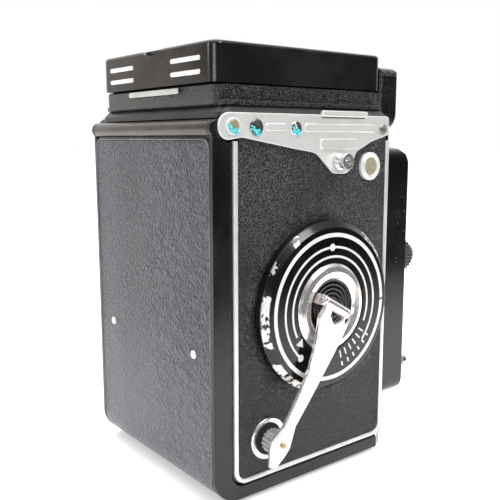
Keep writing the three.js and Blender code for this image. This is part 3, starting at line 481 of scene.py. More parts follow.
def disc_enamel():
    """The crank plate's black enamel, chipped to bare metal along the rim at a few clock positions."""
    g = Graph("disc_enamel", rough=0.2, Specular_IOR_Level=0.5)
    low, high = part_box("crank_plate")
    middle = (low + high) / 2
    edge_x = low.x + 3.2 * MM  # chips end a little way down the rim
    across = g.minus(middle.y, g.axis(1))
    up = g.minus(g.axis(2), middle.z)
    radius = g.math("SQRT", g.plus(g.times(across, across), g.times(up, up)))
    turn = g.math("ARCTAN2", up, across)
    share = g.math("FRACT", g.plus(g.math("DIVIDE", turn, math.tau), 1.0))
    where = g.ramp(share, [(0.0, 0.0), (0.075, 0.0), (0.09, 0.9), (0.155, 1.0), (0.17, 0.0), (0.325, 0.0),
                           (0.335, 0.95), (0.352, 0.9), (0.36, 0.0), (0.385, 0.0), (0.395, 0.8),
                           (0.42, 0.75), (0.43, 0.0), (0.445, 0.0), (0.46, 1.0), (0.56, 0.95), (0.575, 0.2),
                           (0.585, 0.2), (0.6, 1.05), (0.66, 1.0), (0.7, 0.55), (0.72, 0.0), (1.0, 0.0)])
    rim = g.times(g.span(radius, 0.0272, 0.0278), g.span(g.axis(0), edge_x - 0.0008, edge_x - 0.0016))
    ragged = g.noise(430, 4, 0.6)
    chance = g.plus(g.times(where, 0.5), g.times(ragged, 1.1))
    bare = g.times(g.span(chance, 0.98, 1.02), rim)
    cloud = g.noise(90, 3)
    black = g.mix(g.span(cloud, 0.35, 0.7), (0.003, 0.003, 0.004), (0.008, 0.008, 0.009))
    shine = g.mix(g.span(g.noise(260, 2), 0.4, 0.62), (0.86, 0.80, 0.74), (0.92, 0.93, 0.96))
    g.set("Base Color", g.mix(bare, black, shine))
    g.set("Metallic", bare)
    g.set("Roughness", g.plus(0.16, g.times(bare, 0.24)))
    g.bump(g.minus(1.0, bare), 0.00008, 0.8)
    return g.material


def glass(name, tint=(0.9, 0.93, 1.0), rough=0.0):
    g = Graph(name, tint, rough, IOR=1.5)
    g.set("Transmission Weight", 1.0)
    g.set("Coat Weight", 0.5)
    g.set("Coat Tint", (0.82, 0.76, 0.98))
    smear = g.noise(140, 3)
    g.set("Base Color", g.mix(g.span(smear, 0.4, 0.8), tint, tuple(c * 0.93 for c in tint)))
    return g.material


def verdigris():
    """Brass-green to cyan salts that creep out round old screws."""
    g = Graph("verdigris", rough=0.75)
    grow = g.noise(2600, 5, 0.65)
    g.set("Base Color", g.mix(g.span(grow, 0.35, 0.65), (0.02, 0.52, 0.58), (0.20, 0.88, 0.88)))
    g.bump(grow, 0.0002, 0.9)
    return g.material


BLACK = enamel("black_enamel", (0.004, 0.004, 0.0045))
FLANGE = enamel("flange_enamel", (0.0045, 0.005, 0.004), 0.2, dust=0.10)
# the rim bead's grey-blue base is a painted highlight on black enamel
BEAD_PAINTED_HIGHLIGHT = enamel("bead_enamel", (0.075, 0.078, 0.088), 0.16, dust=0.05)
LID_BLACK = enamel("lid_enamel", (0.0075, 0.0065, 0.006), 0.17, dust=0.12)
DECK = enamel("deck_enamel", (0.010, 0.010, 0.011), 0.3, dust=0.12)
# the roll's brown-grey base is a painted reflection on black enamel
ROLL_PAINTED_REFLECTION = enamel("roll_enamel", (0.034, 0.027, 0.023), 0.13, dust=0.1)
CRINKLE = crinkle()
LEATHER = side_leather("side_leather")
REAR = rear_leather()
DISC = disc_enamel()
SATIN = metal("satin_aluminium", (0.80, 0.79, 0.78), 0.36)
STRAP = metal("strap_plate_aluminium", (0.90, 0.90, 0.88), 0.42, tint=(0.86, 0.86, 0.84), pits=0.2,
              spread=0.06, metallic=0.45)
DARK_HEAD = metal("dark_screw_steel", (0.22, 0.21, 0.20), 0.4, pits=0.6)
EDGE = metal("polished_aluminium", (0.95, 0.95, 0.94), 0.24, pits=0.02, spread=0.05, metallic=0.25)
TRIM = metal("trim_aluminium", (0.86, 0.86, 0.85), 0.34, pits=0.04, spread=0.04, metallic=0.4)
BLACKENED = metal("blackened_wheel", (0.10, 0.10, 0.105), 0.36, tint=(0.13, 0.115, 0.10), pits=0.1,
                  metallic=0.7)
CHROME = metal("chrome", (0.95, 0.95, 0.95), 0.16, tint=(0.90, 0.88, 0.87), pits=0.15, spread=0.08)
MILLED = metal("milled_aluminium", (0.76, 0.76, 0.77), 0.34, pits=0.08, spread=0.05, metallic=0.85)
STEEL = metal("steel", (0.60, 0.60, 0.61), 0.34, brushed=(0.05, 1, 1))
ARM_CHROME = metal("arm_chrome", (0.90, 0.88, 0.88), 0.17, tint=(0.82, 0.76, 0.76), pits=0.05, spread=0.05,
                   metallic=0.75)
HUB_CHROME = metal("hub_chrome", (0.95, 0.94, 0.94), 0.2, tint=(0.92, 0.84, 0.80), pits=0.1, spread=0.08,
                   metallic=0.85)
BRASS = metal("brass", (0.62, 0.43, 0.16), 0.35, tint=(0.45, 0.30, 0.12))
# dark base: painted shade of the recess in the crank hub
HUB_CENTRE_SHADE = metal("turned_dark_chrome", (0.06, 0.06, 0.065), 0.22, pits=0.1)
MIRRORED = metal("mirror_silver", (0.92, 0.94, 0.95), 0.05, pits=0.05, spread=0.02)
WHITE = paint("white_line_paint", (0.86, 0.86, 0.85), 0.4, chips=0.03)
DIAL = paint("dial_paint", (0.78, 0.78, 0.72), 0.5)
MATT = paint("matt_black", (0.014, 0.014, 0.015), 0.75)
PLASTIC = paint("black_plastic", (0.018, 0.018, 0.018), 0.35)
GLASS = glass("lens_glass")
FROSTED = glass("ground_glass", (0.88, 0.9, 0.9), 0.45)
CATCH = metal("catch_aluminium", (0.62, 0.62, 0.60), 0.42, pits=0.5, metallic=0.8)
AMBER = paint("ochre_counter_glass", (0.40, 0.35, 0.24), 0.2, chips=0.06)
AGED_BRASS = metal("aged_brass", (0.60, 0.45, 0.24), 0.5, tint=(0.42, 0.36, 0.24), pits=0.6, metallic=0.6)
AGED_HEAD = metal("aged_screw", (0.52, 0.54, 0.44), 0.45, tint=(0.34, 0.42, 0.34), pits=0.8, metallic=0.7)
# dark ochre: grime and painted shade in the gap under the strap bridge
GRIME_AND_SHADE = paint("grime_and_shade_under_bridge", (0.16, 0.15, 0.08), 0.7)
# near-black with a violet tint: painted shade of a lens's depth
LENS_DEPTH_SHADE = paint("coated_depth", (0.004, 0.003, 0.008), 0.3)
VERDIGRIS = verdigris()

# CAD nodes keep their shape and take a finish here; most outer ones are replaced by finer pieces below.
CAD_FINISH = {node_name: finish for finish, names in (
    (DECK, "body_casting"),
    (BLACK, "front_cover focus_side_cover crank_side_cover lens_standard front_panel back_door hood_lid"),
    (CRINKLE, "hood_base nameplate"),
    (LEATHER, "focus_side_leather crank_side_leather"),
    (REAR, "door_leather"),
    (TRIM, "focus_side_trim crank_side_trim"),
    (SATIN, "focus_strap_plate crank_strap_plate focus_strap_stud crank_strap_stud counter_bezel "
            "hood_catch"),
    (DISC, "crank_plate"),
    (CHROME, "knob_rest_ring crank_hub crank_arm crank_knob release_button"),
    (MIRRORED, "reflex_mirror"),
    (FROSTED, "focusing_screen"),
    (STEEL, "tripod_bush door_hinge_pin crank_hinge_pin lower_film_roller upper_film_roller focus_cam "
            "cam_follower"),
    (BRASS, "drive_gear idler_gear takeup_gear"),
    (PLASTIC, "takeup_spool feed_spool"),
    (MILLED, "takeup_knob feed_knob focus_knob viewing_lens_barrel shutter_housing aperture_wheel "
             "shutter_speed_wheel release_lock_collar self_timer_lever latch_dial"),
    (DIAL, "counter_dial"),
    (GLASS, "viewing_lens taking_lens magnifier_lens"),
    (MATT, "pressure_plate focus_side_flap crank_side_flap rear_flap magnifier_frame"),
) for node_name in names.split()}
for node_name, node in frame["nodes"].items():
    node.data.materials.clear()
    node.data.materials.append(CAD_FINISH[node_name])

# ---- Driving dimensions, in drawing millimetres ----
BODY_HALF = 39.2
HINGE = (38.4, 121.2)  # the door's hinge axis, y and z
CRANK = (-5.6, 61.0)
REACH = 48.7  # crank axis to knob axis
ARM_TURN = math.atan2(-math.sqrt(0.75), 0.5)  # the folded arm's direction, from +Y towards +Z
ARM_HINGE = 47.9
ARM_TILT = math.radians(-2.35)  # the arm leans in towards the disc along its length
KNOB_AT = (CRANK[0] + REACH * math.cos(ARM_TURN), CRANK[1] + REACH * math.sin(ARM_TURN))
STUD = (-12, 110.4)
COUNTER = (-28.2, 108.4)
FOCUS = (-8, 66)
TAKEUP, FEED = (24, 102), (-22, 17.2)  # spool knobs
HINGE_SCREW = (33.0, 121.8)
RELEASE = (-24.5, 0, 25)
LENS_Z = (92, 50)  # viewing lens, taking lens
SIDES = (("crank", True), ("focus", False))  # the crank side is drawn on +X and mirrored
SAME_POINT = 0.002  # millimetres
SAME_FACE = 1  # degree


def from_cad(node_name):
    """A CAD node's shape as a bmesh in the drawing frame, its flat faces made whole."""
    node = frame["nodes"][node_name]
    bm = bmesh.new()
    bm.from_mesh(node.data)
    bmesh.ops.transform(bm, matrix=TO_ROW.inverted() @ node.matrix_world, verts=bm.verts)
    bmesh.ops.remove_doubles(bm, verts=bm.verts, dist=SAME_POINT)
    bmesh.ops.dissolve_limit(bm, angle_limit=math.radians(SAME_FACE), verts=bm.verts, edges=bm.edges)
    return bm


def body_of(node_name):
    return next(b for b, names in frame["record"]["behaviour"]["bodies"].items() if node_name in names)


def block(x, y, z):
    return new_slab(box2(*x, *y), "top", *z)


# ---- Castings and pressings whose own shape is fine enough: softer edges ----
SOFT_EDGES = {
    "front_cover": 0.35, "focus_side_cover": 0.2, "crank_side_cover": 0.2, "lens_standard": 0.5,
    "front_panel": 0.2, "hood_base": 0.3, "pressure_plate": 0.25, "focus_side_flap": 0.12,
    "crank_side_flap": 0.12, "rear_flap": 0.12, "magnifier_frame": 0.25, "focus_cam": 0.15,
    "cam_follower": 0.15, "drive_gear": 0.1, "idler_gear": 0.1, "takeup_gear": 0.1,
    "reflex_mirror": 0.15, "focusing_screen": 0.12,
}
for node_name, width in SOFT_EDGES.items():
    piece(f"{node_name}_fine", from_cad(node_name), CAD_FINISH[node_name], body_of(node_name),
          replaces=[node_name], bevel=width)

# The casting without its hinge knuckles' outer ends, which the door's rounded ends cover.
casting = from_cad("body_casting")
for side in (-1, 1):
    tip = block(sorted((side * 37.05, side * 41)), (29, 45), (117.6, 125))
    carved(casting, tip)
piece("casting", casting, DECK, replaces=["body_casting"], bevel=0.3)

# ---- Film door ----
DOOR_SKIN = 39.35
DOOR_REAR = 40.1
door = bmesh.new()
slab(door, rounded([(-36.4, 0.75), (DOOR_SKIN, 0.75, 9.25), (DOOR_SKIN, 119.2), (DOOR_SKIN - 1.2, 119.2),
                    (DOOR_SKIN - 1.2, 1.95, 8), (-36.4, 1.95)], step=5), "side", -37.6, 37.6)
piece("door_skin", door, BLACK, "door", replaces=["back_door"])
roll_end = [Vector((HINGE[0] + 2.7 * math.cos(a), HINGE[1] + 2.7 * math.sin(a)))
            for a in (math.radians(-51 + 231 * k / 30) for k in range(31))]
flange_low = rounded([(35.7, 117.6), (33.2, 116.6, 1.2), (33.2, 4.7, 5), (-36.4, 4.7, 1.2), (-36.4, 0, 0.6),
                      (DOOR_REAR, 0, 10), (DOOR_REAR, 119)], closed=False, step=4)
for side, mirror in SIDES:
    bm = new_slab([*flange_low, *roll_end], "side", 37.45, BODY_HALF, bevel=0.45, steps=4)
    piece(f"door_flange_{side}", bm, FLANGE, "door", mirror=mirror)
bm = new_lathe([(-37.4, 0), (-37.4, 2.7, 0.3), (37.4, 2.7, 0.3), (37.4, 0)], "x", (0, *HINGE))
piece("door_roll", bm, ROLL_PAINTED_REFLECTION, "door")
for x in (-29, 29):
    for y in (-28, 20):
        bm = new_lathe([(-1.2, 0), (-1.2, 3, 0.6), (1.0, 3), (1.0, 0)], "z", (x, y, 0), 64)
        piece(f"door_foot_{x}_{y}", bm, SATIN, "door")
bm = new_lathe([(33.6, 0), (33.6, 5, 0.3), (38.4, 5), (38.4, 0)], "y", (0, 0, LENS_Z[1]), 64)
piece("door_boss", bm, BLACK, "door")

bm = new_slab(rounded([(24, 0.7), (DOOR_SKIN + 0.03, 0.7, 9.3), (DOOR_SKIN + 0.03, 117.6),
                       (DOOR_REAR - 0.05, 117.6, 0.3), (DOOR_REAR - 0.05, 0.05, 9.95), (24, 0.05, 0.2)],
                      step=5), "side", -37.1, 37.1)
for side in (-1, 1):
    corner = [Vector((side * p.x, p.y)) for p in rounded(
        [(34.1, 119), (38, 119), (38, 114.6), (37.1, 114.6), (37.1, 117.6, 2.99), (34.1, 117.6)])]
    carved(bm, new_slab(corner, "front", 38.6, 41))
piece("door_leather_sheet", bm, REAR, "door", replaces=["door_leather"])
rim_outer = rounded([(-37.75, 9.5), (-37.75, 118.2, 3.6), (37.75, 118.2, 3.6), (37.75, 9.5)], closed=False)
rim_inner = rounded([(37.12, 9.5), (37.12, 117.62, 3), (-37.12, 117.62, 3), (-37.12, 9.5)], closed=False)
bm = new_slab([*rim_outer, *rim_inner], "front", 39.2, 40.3, bevel=0.28, steps=4)
piece("door_rim_bead", bm, BEAD_PAINTED_HIGHLIGHT, "door")
for side, x in (("left", -27.6), ("right", 27.6)):
    bm = new_lathe([(39.9, 0), (39.9, 1.5), (40.35, 1.35, 0.3), (40.6, 0.7, 0.6), (40.65, 0)], "y",
                   (x, 0, 49), 48)
    piece(f"door_rivet_{side}", bm, EDGE, "door")

# ---- Viewing hood ----
LID = {"x": 36.06, "y": 37.3, "low": 135.1, "top": 147.5}
lid = new_slab(box2(-LID["x"], LID["x"], -LID["y"], LID["y"], 3.6), "top", LID["low"], LID["top"],
               bevel=1.3, steps=6, round_low=False)
carved(lid, new_slab(box2(-35.0, 35.0, -42.3, LID["y"] - 1.05, 2), "top", 134, LID["top"] - 1.05))
carved(lid, new_lathe([(35.2, 0), (35.2, 16), (41.3, 16), (41.3, 0)], "y", (0, 0, LID["top"] + 14.2), 192))
carved(lid, new_lathe([(-30.7, 0), (-30.7, 1), (30.7, 1), (30.7, 0)], "x", (0, -36.5, 145.1), 32), "UNION")
piece("lid_shell", lid, LID_BLACK, "lid", replaces=["hood_lid"], bevel=0.12)
for side, x in (("left", -20.8), ("right", 20.8)):
    for z in (142.6, 138.4):
        bm = new_slab(box2(x - 8.5, x + 8.5, z - 0.75, z + 0.75, 0.7), "front", LID["y"] - 0.2,
                      LID["y"] + 0.35, bevel=0.3)
        piece(f"lid_bar_{side}_{round(z)}", bm, EDGE, "lid")
bm = new_slab(box2(-16.2, 16.2, 132.3, 134.2, 0.8), "front", 36.4, 37.3, bevel=0.3)
piece("hood_catch_strip", bm, CATCH, replaces=["hood_catch"])
for side, mirror in SIDES:
    bm = bmesh.new()
    for y in (20.5, -22.7):
        lathe(bm, [(38.35, 0), (38.35, 0.75), (38.6, 0.5, 0.2), (38.65, 0)], "x", (-1, y, 129), 32)
    piece(f"hood_rivets_{side}", bm, CHROME, mirror=mirror)
plate = new_slab(rounded([(-39.2, 121.5, 0.6), (-48.3, 121.5, 6), (-48.3, 143.8, 2), (-39.2, 143.8, 0.6)]),
                 "side", -34, 34, bevel=0.8)
carved(plate, new_slab(box2(-34, 34, 121.5, 143.8, 3), "front", -49, -39), "INTERSECT")
piece("nameplate_shell", plate, CRINKLE, replaces=["nameplate"], bevel=0.1)

# ---- Strap plates ----
PLATE = (39.25, 40.25)
plate_outline = rounded([(38.4, 126, 4.2), (38.4, 117.1, 3.8), (29.5, 118.5, 3), (7.3, 114.7, 8),
                         (-1.5, 113.4, 6), (-9.5, 106.3, 3.6), (-16.8, 106.1, 3.4), (-20.6, 113.6, 4),
                         (-28, 117, 8), (-37.1, 119.4, 0.8), (-37.1, 125, 0.8), (-36.4, 126, 0.8)], step=5)
PADS = {"rear": (11.6, 20.6, 120.4, 122.9), "long": (-29.8, 4.3, 120.2, 123.0),
        "lobe": (-21.2, -3, 114.4, 118.1)}


HEAD = 40.3  # the middle of the plate screws' heads


def slotted_head(y, z, r, angle):
    """A raised screw head with a slot across it."""
    bm = new_lathe([(HEAD - 0.6, 0), (HEAD - 0.6, r), (HEAD + 0.25, r, 0.25), (HEAD + 0.45, r * 0.75),
                    (HEAD + 0.5, 0)], "x", (0, y, z), 64)
    cutter = new_slab(box2(-r - 1, r + 1, -0.28, 0.28), "side", HEAD + 0.05, HEAD + 2)
    moved(cutter, Matrix.Translation((0, y, z)) @ Matrix.Rotation(angle, 4, "X"))
    return carved(bm, cutter)


for side, mirror in SIDES:
    bm = new_slab(plate_outline, "side", *PLATE, bevel=0.3, holes=[circle(*STUD, 1.9)], steps=4)
    piece(f"strap_plate_{side}", bm, STRAP, replaces=[f"{side}_strap_plate"], mirror=mirror)
    for name, (y0, y1, z0, z1) in PADS.items():
        bm = new_slab(box2(y0, y1, z0, z1, 1.3), "side", PLATE[1] - 0.1, PLATE[1] + 0.4, bevel=0.35,
                      steps=5, round_low=False)
        piece(f"strap_pad_{name}_{side}", bm, STRAP, mirror=mirror)
    bm = new_slab(rounded([(-25, 125.3, 0.9), (-3, 125.3, 0.9), (-3, 127.3, 0.9), (-25, 127.3, 0.9)]),
                  "side", PLATE[1] - 0.3, PLATE[1] + 1, bevel=0.4, steps=5)
    piece(f"strap_bridge_{side}", bm, STRAP, mirror=mirror)
    # grime and painted shade along the gap under the bridge
    bm = new_slab(box2(-24.4, -3.6, 124.85, 125.35, 0.2), "side", PLATE[1] - 0.1, PLATE[1] + 0.06)
    piece(f"bridge_grime_and_shade_{side}", bm, GRIME_AND_SHADE, mirror=mirror)
    bm = new_lathe([(39.4, 0), (39.4, 2.7), (40.7, 2.7, 0.3), (40.7, 2.0, 0.1), (40.3, 1.95), (40.3, 0)],
                   "x", (0, *HINGE_SCREW), 64)
    piece(f"hinge_screw_ring_{side}", bm, EDGE, mirror=mirror)
    bm = new_lathe([(39.4, 0), (39.4, 1.95), (40.65, 1.85, 0.3), (40.75, 0)], "x", (0, *HINGE_SCREW), 48)
    piece(f"hinge_screw_core_{side}", bm, AGED_BRASS, mirror=mirror)
    for name, y, z, r, angle, head in (("rear", 24.2, 121.6, 2.6, 0.5, DARK_HEAD),
                                       ("middle", 7.7, 121.4, 2.3, 1.1, CHROME),
                                       ("front", -33.8, 121.2, 2.0, 0.2, AGED_HEAD)):
        piece(f"plate_screw_{name}_{side}", slotted_head(y, z, r, angle), head, mirror=mirror)
    for name, y, z, r in (("rear", 24.2, 121.6, 2.7), ("middle", 7.7, 121.4, 2.35),
                          ("ring", *HINGE_SCREW, 2.75)):
        bm = bmesh.new()
        for k in range(30):
            a = math.radians(-10 + 150 * k / 29)  # the head's lower rear half
            out = r * (1.0 - 0.62 * abs(math.sin(3.9 * k + r)))
            size = 0.16 + 0.42 * math.sin(7.3 * k + y) ** 2
            at = Vector((PLATE[1] + (0.45 if out < r * 0.9 else 0.1), y + out * math.cos(a),
                         z - out * math.sin(a)))
            flat = Matrix.Translation(at) @ Matrix.Diagonal((0.45, 1, 0.8, 1))
            bmesh.ops.create_icosphere(bm, subdivisions=2, radius=size, matrix=flat)
        piece(f"verdigris_{name}_{side}", bm, VERDIGRIS, mirror=mirror)
    bm = new_lathe([(39.15, 0), (39.15, 1.75), (40.4, 1.75), (40.4, 3, 0.2), (41.3, 3, 0.3), (42, 2.1, 0.8),
                    (43.2, 2.1, 0.8), (44, 2.9, 0.3), (44.7, 2.7, 0.3), (44.6, 1.3, 0.15), (42, 1.3),
                    (42, 0)], "x", (0, *STUD), 96)
    piece(f"strap_stud_turned_{side}", bm, SATIN, replaces=[f"{side}_strap_stud"], mirror=mirror)

# ---- Side leather and trim ----
for side, mirror in SIDES:
    holes = [circle(*CRANK, 6), circle(*COUNTER, 5.2)] if mirror else [
        circle(*TAKEUP, 3), circle(*FEED, 3), circle(*FOCUS, 6)]
    bm = new_slab(rounded([(-36.8, 6.9, 3.2), (30.2, 6.9, 3.2), (30.2, 122), (-36.8, 122)]), "side", 38.45,
                  39.1, bevel=0.2, holes=holes)
    piece(f"leather_{side}", bm, LEATHER, replaces=[f"{side}_side_leather"],
          mirror=mirror)
    trim = rounded([(-38.6, 117.4), (-38.6, 5.2, 5), (32.2, 5.2, 5), (32.2, 117.4), (30.5, 117.4),
                    (30.5, 6.8, 3.2), (-36.9, 6.8, 3.2), (-36.9, 117.4)], step=5)
    bm = new_slab(trim, "side", 38.45, 39.55, bevel=0.7, steps=6, round_low=False)
    slab(bm, box2(-38.6, -37.1, 1.0, 5.6, 0.2), "side", 38.45, 39.2, bevel=0.25)
    piece(f"trim_bead_{side}", bm, TRIM, replaces=[f"{side}_side_trim"], mirror=mirror)

# ---- Counter ----
bm = new_lathe([(38.45, 3.2), (38.45, 5), (39.9, 5, 0.4), (40.6, 4.1, 0.5), (40.2, 3.2, 0.1)], "x",
               (0, *COUNTER))
piece("counter_bezel_turned", bm, EDGE, replaces=["counter_bezel"], mirror=True)
bm = new_lathe([(38.9, 0), (38.9, 3.18), (39.6, 3.18), (40.0, 2.0), (40.1, 0)], "x", (0, *COUNTER))
piece("counter_window", bm, AMBER, mirror=True)

# ---- Crank plate: black enamel disc with thin raised white lines ----
bm = new_lathe([(39.15, 15.6), (39.15, 29.2), (39.6, 29.7), (42.2, 29.7, 0.6), (43.9, 27.6, 0.8),
                (44.3, 26.9), (44.3, 15.6)], "x", (0, *CRANK), 192)
piece("crank_disc", bm, DISC, replaces=["crank_plate"], mirror=True)


def on_disc(r, a):
    """The place at a radius and an angle from the -Y side, turning up."""
    return CRANK[0] - r * math.cos(a), CRANK[1] + r * math.sin(a)


FACE = 44.3
LINES = (FACE - 0.02, FACE + 0.05)  # the white lines' undersides and tops
DOTS = (FACE - 0.02, FACE + 0.06)


def arc_band(bm, inner, outer, start, end, steps):
    """Part of a flat ring on the crank disc; angles in degrees."""
    angles = [math.radians(start + (end - start) * k / steps) for k in range(steps + 1)]
    loop = [Vector(on_disc(outer, a)) for a in angles]
    loop += [Vector(on_disc(inner, a)) for a in reversed(angles)]
    return slab(bm, loop, "side", *LINES)


bm = bmesh.new()
arc_band(bm, 24.3, 25.7, 0, 358.5, 160)
piece("disc_ring", bm, WHITE, mirror=True)
bm = bmesh.new()
arc_band(bm, 20.4, 21.2, -42, 227.7, 120)
arc_band(bm, 17.2, 18.0, -24, 207, 120)
for degrees in (90, 227.7):
    slab(bm, circle(*on_disc(20.8, math.radians(degrees)), 1.25, 32), "side", *DOTS)
tip, root = math.radians(222), math.radians(213)
arrow = [Vector(on_disc(r, a)) for r, a in ((17.6, tip), (19.3, root), (15.9, root))]
slab(bm, arrow, "side", *DOTS)
for degrees in range(-75, -34, 8):
    for inner, outer in ((16.7, 19.4), (21.0, 22.6)):
        arc_band(bm, inner, outer, degrees - 0.9, degrees + 0.9, 4)
piece("disc_arcs", bm, WHITE, mirror=True)

# ---- Crank: hub, arm and knob, drawn with the arm along +Y ----
to_crank = Matrix.Translation((0, *CRANK)) @ Matrix.Rotation(ARM_TURN, 4, "X")
to_hinge = Matrix.Translation((-ARM_HINGE, *CRANK)) @ Matrix.Rotation(ARM_TURN, 4, "X")
bm = new_lathe([(-33, 0), (-33, 4), (-43.6, 4), (-43.6, 15.2), (-44.2, 15.2, 0.2), (-45.0, 14.2, 0.6),
                (-45.5, 12.6, 0.9), (-45.2, 10.6, 0.6), (-44.3, 9.8), (-43.9, 9.8), (-43.9, 0)], "x",
               segments=128)
piece("hub_ring", moved(bm, to_crank), HUB_CHROME, "crank", replaces=["crank_hub"])
bm = bmesh.new()
radii = (9.7 - 0.15 * k for k in range(65))
ripples = [(-44.1 - 0.05 * (1 - math.cos(r * 4.2)), r) for r in radii if r > 0.02]
lathe(bm, [(-43.95, 0), (-43.95, 9.75), *ripples, (-44.1, 0)], "x", segments=128)
# the hub centre is painted dark as shade in its recess
piece("hub_centre", moved(bm, to_crank), HUB_CENTRE_SHADE, "crank")
for name, low in (("low", -4.6), ("high", 8.0)):
    lug = new_slab(rounded([(-49.6, -1.8, 1.7), (-44.1, -1.8), (-44.1, 1.8), (-49.6, 1.8, 1.7)]), "top",
                   low, low + 1.2, bevel=0.2)
    piece(f"hub_lug_{name}", moved(lug, to_crank), ARM_CHROME, "crank")
bm = new_lathe([(-5.0, 0), (-5.0, 0.7, 0.2), (9.6, 0.7, 0.2), (9.6, 0)], "z", segments=48)
piece("hub_hinge_pin", moved(bm, to_hinge), STEEL, "crank", replaces=["crank_hinge_pin"])

arm_outline = rounded([(0, -3.3), (2.7, -3.3, 1), (6, -5.6, 3), (14.6, -5, 8), (25.3, -4, 10),
                       (33, -3.2, 10), (41.4, -2.1, 3), (REACH, -3.8, 3), (51.5, -3.3, 2),
                       (56.6, -1.5, 0.8), (56.9, 1.2, 0.8), (51.5, 4, 2), (REACH, 4.9, 2), (43, 2.7, 3),
                       (29, 2.4, 10), (21.5, 3, 8), (12, 5.4, 6), (5.6, 8.4, 2), (2.7, 7.9, 1), (0, 7.9)],
                      step=5)
arm_window = rounded([(1.3, -1.9, 0.3), (3.6, -1.7, 0.8), (5.5, 1, 0.9), (3.4, 3.9, 0.8), (1.3, 4.1, 0.3)])
arm = new_slab(arm_outline, "side", -1.6, 0, bevel=0.4, holes=[arm_window], steps=5)
moved(arm, Matrix.Rotation(ARM_TILT, 4, "Z"))
barrel = new_lathe([(-3.3, 0.75), (-3.3, 1.9, 0.15), (7.9, 1.9, 0.15), (7.9, 0.75)], "z", segments=64)
carved(arm, barrel, "UNION")
piece("arm_blade", moved(arm, to_hinge), ARM_CHROME, "crank_arm", replaces=["crank_arm"])
bm = new_lathe([(-0.1, 0), (-0.1, 0.9), (-0.35, 0.8, 0.2), (-0.45, 0)], "x", (0, REACH, 0), 48)
piece("arm_rivet", moved(bm, to_hinge), BRASS, "crank_arm")
bm = new_lathe([(0.9, 0), (0.9, 3.2, 0.2), (1.5, 3.2), (1.5, 1.3), (7.0, 1.3, 0.3), (7.0, 0)], "x",
               (0, REACH, 0), 64)
piece("arm_knob_pin", moved(bm, to_hinge), STEEL, "crank_arm")
knob = new_slab(fluted(4.1, 0.5, 16, 8), "side", 41.1, 45.6, bevel=0.3, holes=[circle(0, 0, 1.5, 32)])
piece("knob_fluted", moved(knob, Matrix.Translation((0, *KNOB_AT))), MILLED, "crank_knob",
      replaces=["crank_knob"], mirror=True)
bm = new_lathe([(39.15, 5.4), (39.15, 7.2), (40.2, 7.2, 0.4), (40.3, 6.6, 0.3), (40.0, 5.4, 0.2)], "x",
               (0, *KNOB_AT))
piece("knob_cup_ring", bm, CHROME, replaces=["knob_rest_ring"], mirror=True)
bm = new_lathe([(39.11, 0), (39.11, 5.4), (39.3, 5.4), (39.2, 0)], "x", (0, *KNOB_AT))
piece("knob_cup", bm, MATT, mirror=True)

# ---- Focusing knob, spool knobs ----
knob = new_slab(fluted(17, 0.7, 48), "side", 41.3, 48.3, bevel=0.3)
piece("focus_grip", moved(knob, Matrix.Translation((0, *FOCUS))), MILLED, "focus", replaces=["focus_knob"])
bm = new_lathe([(39.7, 0), (39.7, 15.2), (41.4, 15.2), (41.4, 0)], "x", (0, *FOCUS))
piece("focus_collar", bm, SATIN, "focus")
bm = new_lathe([(48.2, 0), (48.2, 15.6), (49.3, 15.6, 0.3), (50.0, 14.6, 0.3), (50.0, 11),
                (50.5, 10.4, 0.3), (50.5, 0)], "x", (0, *FOCUS))
piece("focus_cap", bm, SATIN, "focus")
TICKS = 40
bm = bmesh.new()
for k in range(TICKS):
    tick = new_slab(box2(11.6, 14.2 if k % 5 == 0 else 12.9, -0.16, 0.16), "side", 49.95, 50.05)
    moved(tick, Matrix.Translation((0, *FOCUS)) @ Matrix.Rotation(math.tau * k / TICKS, 4, "X"))
    mesh = bpy.data.meshes.new("tick")
    tick.to_mesh(mesh)
    bm.from_mesh(mesh)
    bpy.data.meshes.remove(mesh)
piece("focus_scale", bm, MATT, "focus")
for name, y, z in (("takeup_knob", *TAKEUP), ("feed_knob", *FEED)):
    bm = new_slab(fluted(6.6, 0.5, 24, 8), "side", 39.5, 43.6, bevel=0.25)
    lathe(bm, [(43.5, 0), (43.5, 5.2), (44.2, 5.0, 0.3), (44.2, 0)], "x", segments=64)
    lathe(bm, [(27, 0), (27, 2, 0.3), (33.5, 2), (33.5, 2.3), (39.6, 2.3), (39.6, 0)], "x", segments=48)
    piece(f"{name}_fluted", moved(bm, Matrix.Translation((0, y, z))), MILLED, name, replaces=[name])

